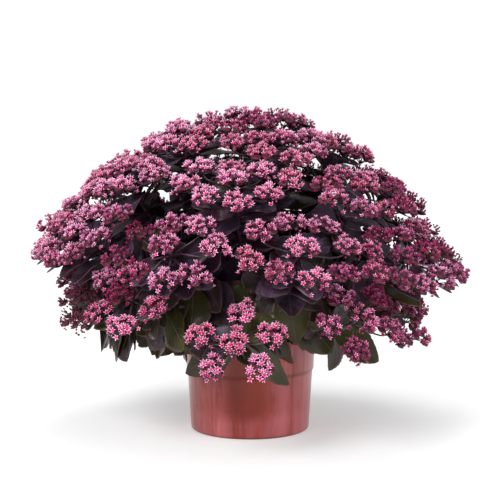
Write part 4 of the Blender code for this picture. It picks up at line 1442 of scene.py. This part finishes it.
# how far a cluster has opened, with painted light and shade in it: from 0, dark buds, to 1, wide open and
# pale.
# It grows with the turn towards the light, so that clusters on the lit side are painted paler and more open
# and those turned away darker; some heads, more of them low down, are late, and it falls off as a bell curve
# round each shaded place.
def opennessAndLight(head, cluster, j):
    form, number = headForm, head["number"]
    out = unit(cluster["place"] - np.array((0.0, 0.0, dome["belly"])))
    litShare = float(np.dot(out, unit(np.array(form["lightFrom"]))))
    behind = form["lateBy"] if 0.5 + 0.5 * draw(number, 21) < form["late"][head["ring"]] else 0.0
    byHead, byCluster = form["openVaried"]
    drawn = byHead * draw(number, 22) + byCluster * draw(number, 23, j)
    shade = 0.0
    for *middle, radius, depth in form["shade"]:
        far = np.linalg.norm(cluster["place"] - np.array(middle)) / radius
        shade = max(shade, depth * math.exp(-(far**2)))
    plain, byLight = form["openedAndLit"]
    return min(1.0, max(0.0, plain + byLight * max(form["leastLit"], litShare) - behind - shade + drawn))


# the florets of a cluster lie as seeds do in a sunflower: the radius is the root of the share, and each
# turns on by the golden angle; each is then pulled towards the nearest of its cluster's lobes. The buds lie
# on the same spiral, half a step on and a little lower.
def planFlorets(head, j):
    form, number, cluster = headForm, head["number"], head["clusters"][j]
    overlap, overlapVaried = form["overlap"]
    radius = (overlap + overlapVaried * draw(number, 25, j)) * cluster["radius"]
    squash = np.array((1.0, -1.0)) * form["squash"] * draw(number, 26, j)
    facing, first = cluster["facing"], cluster["across"]
    second = np.cross(facing, first)
    rng = np.random.default_rng([seed, 70, number, j])
    some = form["lobes"]
    shifted = np.arange(some) + form["lobeVaried"] * rng.uniform(-1, 1, some)
    turn = cluster["spin"] + math.tau * shifted / some
    lobes = form["lobeReach"] * rng.uniform(*form["lobeSpread"], some)[:, None] * levelRing(turn)[:, :2]
    lobes = np.vstack((np.zeros((1, 2)), lobes))
    lobeLift = form["lobeLift"] * rng.uniform(-1.0, 1.0, len(lobes))

    # points of the cluster's plate, squashed one way or the other, from shares of its radius
    def onPlate(flat):
        wide = radius * (1.0 + squash) * flat
        return cluster["place"] + wide[:, :1] * first + wide[:, 1:] * second

    # the places, normals, nearest lobes and squared shares of the way out of so many things on the spiral
    def spiral(count, shift, depth):
        shifted, tilted = form["unlevel"]
        i = np.arange(count) + shift
        reach = np.sqrt((i + 0.5) / (count + shift))
        turn = math.radians(form["goldenAngle"]) * i + cluster["spin"]
        flat = reach[:, None] * levelRing(turn)[:, :2]
        ways = np.linalg.norm(flat[:, None] - lobes, axis=2)
        lobe = ways.argmin(axis=1)
        flat = flat + form["lobePull"] * (lobes[lobe] - flat) + rng.normal(0.0, shifted, flat.shape)
        offset = flat - lobes[lobe]
        square = (flat**2).sum(axis=1)
        rise = form["domeRise"] * (1.0 - square) - form["rimFall"] * square**3
        rise = rise - form["lobeRound"] * (ways.min(axis=1) / form["lobeSize"]) ** 2 + lobeLift[lobe]
        rise = rise + form["uneven"] * rng.normal(size=count) - depth
        lean = form["lean"] * flat * square[:, None] ** 0.5 + form["lobeLean"] * offset
        normal = facing + lean[:, :1] * first + lean[:, 1:] * second + tilted * rng.normal(size=(count, 3))
        return onPlate(flat) + rise[:, None] * facing, unit(normal), lobe, square

    count = max(8, int(round(math.pi * radius**2 / form["floretArea"])))
    place, normal, lobe, square = spiral(count, 0.0, form["floretDepth"])
    lobeRise = form["domeRise"] * (1.0 - (lobes**2).sum(axis=1)) - form["lobeDepth"]
    lobePlace = onPlate(lobes) + lobeRise[:, None] * facing
    stageAndLight = opennessAndLight(head, cluster, j)
    openedAndLit = stageAndLight + form["stageVaried"] * rng.normal(size=count) - form["rimLater"] * square
    openedAndLit = np.clip(openedAndLit, 0.0, 1.0)
    middle, byCluster, byFloret = form["tone"]
    own = middle + byCluster * draw(number, 24, j) + byFloret * rng.uniform(-1.0, 1.0, count)
    own = np.clip(own, 0.0, 1.0)
    budPlace, budNormal, _, _ = spiral(int(form["budShare"] * count), 0.5, form["budDepth"])
    share, later, varied, most = form["budStage"]
    budOpenedAndLit = np.clip(share * stageAndLight + later + varied * rng.normal(size=len(budPlace)), 0.0, most)
    budPlace = budPlace + form["budUneven"] * rng.normal(size=(len(budPlace), 1)) * facing
    florets = {"place": place, "normal": normal, "root": lobePlace[lobe], "openedAndLit": openedAndLit, "own": own}
    buds = {"budPlace": budPlace, "budNormal": budNormal, "budOpenedAndLit": budOpenedAndLit}
    plate = {"lobes": lobePlace, "facing": facing, "stageAndLight": stageAndLight, "radius": radius}
    return {**florets, **buds, **plate, "spread": form["spread"][head["ring"]] * openedAndLit}


# one array from the rows that every plan holds under a name
def gathered(plans, name):
    return np.concatenate([plan[name] for plan in plans])


# the faces of one floret: folded petals above and below, carpels in its heart, and its stalk, with a finish
# for each
def floretFaces():
    k = np.arange(5)
    notch, tip, before = 1 + k, 6 + k, 1 + (k - 1) % 5
    heart, cup = np.zeros(5, int), np.full(5, 11)
    petals = [(heart, before, tip), (heart, tip, notch)]
    under = [(cup, tip, before), (cup, notch, tip)]
    s = np.arange(4)
    carpels = [(12 + s, 12 + (s + 1) % 4, np.full(4, 16))]
    groups = [np.vstack([np.column_stack(f) for f in part]) for part in (petals, under, carpels)]
    groups[2] = np.vstack((groups[2], ((12, 15, 14), (12, 14, 13))))
    stalk = np.array(((17, 18, 20), (18, 19, 20), (19, 17, 20), (19, 18, 17)))
    faces = np.vstack((*groups, stalk))
    finish = np.concatenate([np.full(len(part), f) for part, f in zip((*groups, stalk), (0, 0, 1, 2))])
    return faces, finish


# a floret's points are in this order: heart, notches, tips, cup, carpels' foot and top, stalk and root. Pairs
# are a value at closed and what is added by open; outs are how far out notches, tips and cup count.
floretForm = {
    "points": 21,
    "size": (0.70, 0.30),
    "sizeVaried": (0.88, 1.12),
    "angle": (15.0, 54.0, 7.0),
    "fullAt": 1.15,
    "turnVaried": 6.0,
    "reachVaried": 0.08,
    "notchRadius": (0.33, 0.07),
    "notchHeight": (0.40, -0.22),
    "tipLift": 0.04,
    "cupHeight": -0.36,
    "carpelRadius": 0.17,
    "carpelHeights": (-0.02, 0.42),
    "outs": (0.45, 1.0, 0.1),
    "stalkTop": 0.0005,
}


# florets of any stage at once. A petal's tip stands at an angle from upright that grows as the floret opens;
# each point is radius, turn and height about the floret's own axis, and the stalk is a thin three-sided cone.
def floretSkins(plans, key):
    form, each = floretForm, floretForm["points"]
    place, normal, root = (gathered(plans, name) for name in ("place", "normal", "root"))
    openedAndLit, spread, own = (gathered(plans, name) for name in ("openedAndLit", "spread", "own"))
    count = len(place)
    rng = np.random.default_rng([seed, 80, key])
    least, grown = form["size"]
    size = headForm["floretRadius"] * (least + grown * openedAndLit) * rng.uniform(*form["sizeVaried"], count)
    upright, more, varied = form["angle"]
    angle = upright + more * np.clip(spread * form["fullAt"], 0.0, 1.0)[:, None]
    angle = np.radians(angle + varied * rng.normal(size=(count, 5)))
    wide = spread[:, None]
    petalTurn = np.radians(72.0 * np.arange(5) + form["turnVaried"] * rng.normal(size=(count, 5)))
    reach = 1.0 + form["reachVaried"] * rng.normal(size=(count, 5))
    turn, radius, height = (np.zeros((count, 17)) for _ in range(3))
    notch, tip, cup, foot, top = slice(1, 6), slice(6, 11), 11, slice(12, 16), 16
    turn[:, notch], turn[:, tip] = petalTurn + math.radians(36.0), petalTurn
    turn[:, foot] = 0.5 * math.pi * np.arange(4)
    radius[:, notch] = form["notchRadius"][0] + form["notchRadius"][1] * wide
    height[:, notch] = form["notchHeight"][0] + form["notchHeight"][1] * wide
    radius[:, tip] = np.sin(angle) * reach
    height[:, tip] = np.cos(angle) * reach + form["tipLift"] * wide
    height[:, cup] = form["cupHeight"]
    radius[:, foot] = form["carpelRadius"]
    height[:, foot], height[:, top] = form["carpelHeights"]
    out = np.zeros((count, each))
    out[:, notch], out[:, tip], out[:, cup] = form["outs"]
    first, second = squareTo(unit(rng.normal(size=(count, 3))), normal)
    local = (radius * np.cos(turn))[..., None] * first[:, None]
    local = local + (radius * np.sin(turn))[..., None] * second[:, None]
    points = place[:, None] + size[:, None, None] * (local + height[..., None] * normal[:, None])
    three = math.tau * np.arange(3)[:, None] / 3.0
    ring = np.cos(three) * first[:, None] + np.sin(three) * second[:, None]
    stalk = points[:, cup][:, None] + headForm["stalkRadius"] * ring + form["stalkTop"] * normal[:, None]
    points = np.concatenate((points, stalk, root[:, None]), axis=1)
    layer = np.stack((out, *(np.repeat(values[:, None], each, axis=1) for values in (openedAndLit, own))), axis=-1)
    faces, finish = floretFaces()
    return points.reshape(-1, 3), repeated([faces], count, each), layer.reshape(-1, 3), np.tile(finish, count)


# closed buds between and under the florets: each is a ring of five between two poles
def budSkins(plans, key):
    place, normal, openedAndLit = (gathered(plans, name) for name in ("budPlace", "budNormal", "budOpenedAndLit"))
    count = len(place)
    rng = np.random.default_rng([seed, 85, key])
    size = headForm["budRadius"] * rng.uniform(*headForm["budVaried"], count)
    first, second = squareTo(unit(rng.normal(size=(count, 3))), normal)
    turn = math.tau * np.arange(5)[:, None] / 5.0
    ring = np.cos(turn) * first[:, None] + np.sin(turn) * second[:, None]
    poles = np.array(headForm["budPoles"])[:, None] * normal[:, None]
    points = place[:, None] + size[:, None, None] * np.concatenate((ring, poles), axis=1)
    k = np.arange(5)
    step = (k + 1) % 5
    faces = np.vstack((np.column_stack((k, step, np.full(5, 5))), np.column_stack((step, k, np.full(5, 6)))))
    out = np.tile(np.array([0.45] * 5 + [1.0, 0.0]), (count, 1))
    own = np.repeat(rng.uniform(0.0, 1.0, (count, 1)), 7, axis=1)
    layer = np.stack((out, np.repeat(openedAndLit[:, None], 7, axis=1), own), axis=-1)
    return points.reshape(-1, 3), repeated([faces], count, 7), layer.reshape(-1, 3)


cushionForm = {
    "radius": 0.37,
    "rise": 0.0004,
    "depth": 0.0060,
    "sides": 6,
    "shares": (0.0, 0.42, 0.80, 1.0),
    "widths": (0.16, 0.74, 0.92, 0.52),
    "swell": (0.85, 1.15),
    "out": 0.4,
    "stageAndLight": (0.4, -0.12, 0.05, 0.4),  # as for a bud
    "tone": 0.7,
}


# a dark cushion of packed buds under each lobe, partly a backing that stands in for the shade among the
# florets:
# a squat drop of rings along the cluster's facing
def cushionSkins(plans):
    form = cushionForm
    names = ("lobes", "facing", "radius", "stageAndLight")
    lobes, facing, radius, stageAndLight = (np.array([plan[name] for plan in plans]) for name in names)
    rng = np.random.default_rng([seed, 88, len(plans)])
    swell = rng.uniform(*form["swell"], lobes.shape[:2])[..., None]
    climb = -form["depth"] + (form["depth"] + form["rise"]) * np.array(form["shares"])
    paths = lobes[:, :, None] + (climb * swell)[..., None] * facing[:, None, None]
    radii = form["radius"] * radius[:, None, None] * swell * np.array(form["widths"])
    rings, sides = len(climb), form["sides"]
    points, faces = tubeSkins(paths.reshape(-1, rings, 3), radii.reshape(-1, rings), sides)
    share, later, varied, most = form["stageAndLight"]
    openedAndLit = share * stageAndLight[:, None] + later + varied * rng.normal(size=lobes.shape[:2])
    openedAndLit = np.clip(openedAndLit, 0.0, most).ravel()
    own = rng.uniform(0.0, form["tone"], len(openedAndLit))
    layer = np.stack((np.full(len(openedAndLit), form["out"]), openedAndLit, own), axis=1)
    return points, faces, np.repeat(layer, rings * sides + 2, axis=0)


# rings, sides, and the first and last radius of each kind of branch in a head, and shares and lengths of
# where they start and how they bend
branchForm = {
    "sunk": 0.004,
    "top": 0.46,
    "starts": (0.44, 0.20, 0.20),  # the middle ray's, the lowest, and how much higher others are
    "handle": 0.35,
    "upTurn": 0.5,
    "twigBend": (0.4, 0.0015, 0.003),  # a share of the way and outward at the fork, and inward at the lobe
    "peduncle": (8, 9, stemPlan["tipRadius"], 0.0021),
    "ray": (7, 5, 1.15 * headForm["rayRadius"], 0.85 * headForm["rayRadius"]),
    "twig": (4, 3, 1.15 * headForm["twigRadius"], 0.8 * headForm["twigRadius"]),
}


# tapered tubes along curves, from rows of start, two handles and end
def branchSkins(kind, rows):
    rings, sides, thick, thin = branchForm[kind]
    paths = curved(*np.array(rows).transpose(1, 0, 2), rings)
    return tubeSkins(paths, np.linspace(thick, thin, rings)[None].repeat(len(paths), axis=0), sides)


# the branching of all heads: a peduncle, a ray to each cluster's fork, and a twig from there to each lobe
def makeRays(plans):
    form, length = branchForm, headPlan["length"]
    highest, lowest, more = form["starts"]
    share, out, under = form["twigBend"]
    peduncles, rays, twigs = [], [], []
    for head in heads:
        up, base = head["axis"][0], head["base"]
        foot, top = base - form["sunk"] * up, base + form["top"] * length * up
        peduncles.append((foot, foot + (top - foot) / 3.0, top - (top - foot) / 3.0, top))
        around = len(head["clusters"]) - 1
        for j, cluster in enumerate(head["clusters"]):
            facing = cluster["facing"]
            height = highest if j == 0 else lowest + more * ((j * 5) % around) / around
            start, end = base + height * length * up, cluster["place"] - headForm["forkDrop"] * facing
            bend, way = form["handle"] * np.linalg.norm(end - start), unit(end - start)
            handles = start + bend * unit(way + form["upTurn"] * up), end - bend * unit(way + facing)
            rays.append((start, *handles, end))
            for lobe in plans[head["number"]][j]["lobes"]:
                twigs.append((end, end + share * (lobe - end) + out * facing, lobe - under * facing, lobe))
    branches = {"peduncle": peduncles, "ray": rays, "twig": twigs}
    points, faces = joined([branchSkins(kind, rows) for kind, rows in branches.items()])
    makePiece("headRays", points, faces, [wineStalk], "bloom", nodeNames("head", heads))


# a piece of florets and a piece of buds and cushions for each group of heads, from the lowest to the crown
def makeHeads():
    plans = {head["number"]: [planFlorets(head, j) for j in range(len(head["clusters"]))] for head in heads}
    makeRays(plans)
    groups = {"low": ("low",), "middle": ("middle",), "shoulder": ("shoulder",), "crown": ("crown", "top")}
    total = 0
    for key, (name, ringNames) in enumerate(groups.items()):
        some = [head for head in heads if head["ring"] in ringNames]
        somePlans = [plan for head in some for plan in plans[head["number"]]]
        names = nodeNames("head", some)
        points, faces, layer, finish = floretSkins(somePlans, key)
        finishes = [rosePetal, crimsonHeart, wineStalk]
        rest = ("bloom", names, {"bloom": layer}, finish)
        florets = makePiece(name + "Florets", points, faces, finishes, *rest)
        florets.data.polygons.foreach_set("use_smooth", np.zeros(len(florets.data.polygons), bool))
        total += len(points) // floretForm["points"]
        buds, budFaces, budLayer = budSkins(somePlans, key)
        cushions, cushionFaces, cushionLayer = cushionSkins(somePlans)
        points, faces = joined([(buds, budFaces), (cushions, cushionFaces)])
        layer = np.vstack((budLayer, cushionLayer))
        finish = np.repeat((0, 1), [sum(map(len, part)) for part in (budFaces, cushionFaces)])
        rest = ("bloom", names, {"bloom": layer}, finish)
        makePiece(name + "Buds", points, faces, [rosePetal, budMass], *rest)
    print("florets:", total)


makePot()
makeCompost()
makeStalks()
makeLeaves()
makeHeads()


# Floor, light and camera

studio = {
    "cameraPlace": (0.0, -1.9, 0.421),
    "cameraPitch": -4.55,
    "lens": 91.2,
    "sensor": 36.0,
    "world": (1.0, 1.0, 1.0, 1.0),
    "worldSeen": 1.02,
    "worldLight": 0.5,
    "floorSize": 14.0,
    "floorColour": (0.82, 0.82, 0.82, 1.0),
    "floorGlow": (0.5, 3.0, 0.32, 0.75),
    # place, aim, size and power of each lamp
    "lamps": {
        "keySoftbox": ((-0.8, -1.7, 1.3), (0.0, 0.0, 0.28), 0.8, 36.0),
        "fillSoftbox": ((1.6, -1.4, 0.8), (0.0, 0.0, 0.25), 1.0, 12.0),
        "topSoftbox": ((0.1, 0.3, 1.9), (0.0, 0.0, 0.25), 1.2, 15.0),
    },
}


# a lamp or camera in the scene at a place
def standAt(name, data, place, turn):
    holder = bpy.data.objects.new(name, data)
    bpy.context.scene.collection.objects.link(holder)
    holder.location, holder.rotation_euler = place, turn
    return holder


# a pale floor whose glow grows with the distance, a white room, three square lamps aimed at the plant by the
# arc tangents of their way to it, and the camera
def makeStudio():
    half = studio["floorSize"]
    corners = np.array(((-half, -half, 0.0), (half, -half, 0.0), (half, half, 0.0), (-half, half, 0.0)))
    finish, tree, shader = startFinish("paleFloor", Roughness=0.9, Specular_IOR_Level=0.1)
    away = addNode(tree, "VectorMath", {0: placeOf(tree)}, operation="LENGTH").outputs["Value"]
    glow = carried(tree, away, *studio["floorGlow"])
    wireAll(tree, shader, Base_Color=studio["floorColour"])
    wireAll(tree, shader, Emission_Color=studio["world"], Emission_Strength=glow)
    floor = makePiece("floor", corners, [np.array([[0, 1, 2, 3]])], [finish])
    world = bpy.data.worlds.new("paleRoom")
    world.use_nodes = True
    tree = world.node_tree
    seen = addNode(tree, "LightPath").outputs["Is Camera Ray"]
    strength = carried(tree, seen, 0.0, 1.0, studio["worldLight"], studio["worldSeen"])
    wireAll(tree, tree.nodes["Background"], Color=studio["world"], Strength=strength)
    bpy.context.scene.world = world
    for name, (place, aim, size, power) in studio["lamps"].items():
        lamp = bpy.data.lights.new(name, "AREA")
        lamp.size, lamp.energy = size, power
        way = np.array(aim) - np.array(place)
        tilt = math.atan2(math.hypot(way[0], way[1]), -way[2])
        standAt(name, lamp, place, (tilt, 0.0, math.atan2(way[1], way[0]) - 0.5 * math.pi))
    camera = bpy.data.cameras.new("camera")
    camera.lens, camera.sensor_width = studio["lens"], studio["sensor"]
    turn = (math.radians(90.0 + studio["cameraPitch"]), 0.0, 0.0)
    bpy.context.scene.camera = standAt("camera", camera, studio["cameraPlace"], turn)
    bpy.context.scene.view_settings.view_transform = "Standard"


makeStudio()
print("studio ready")
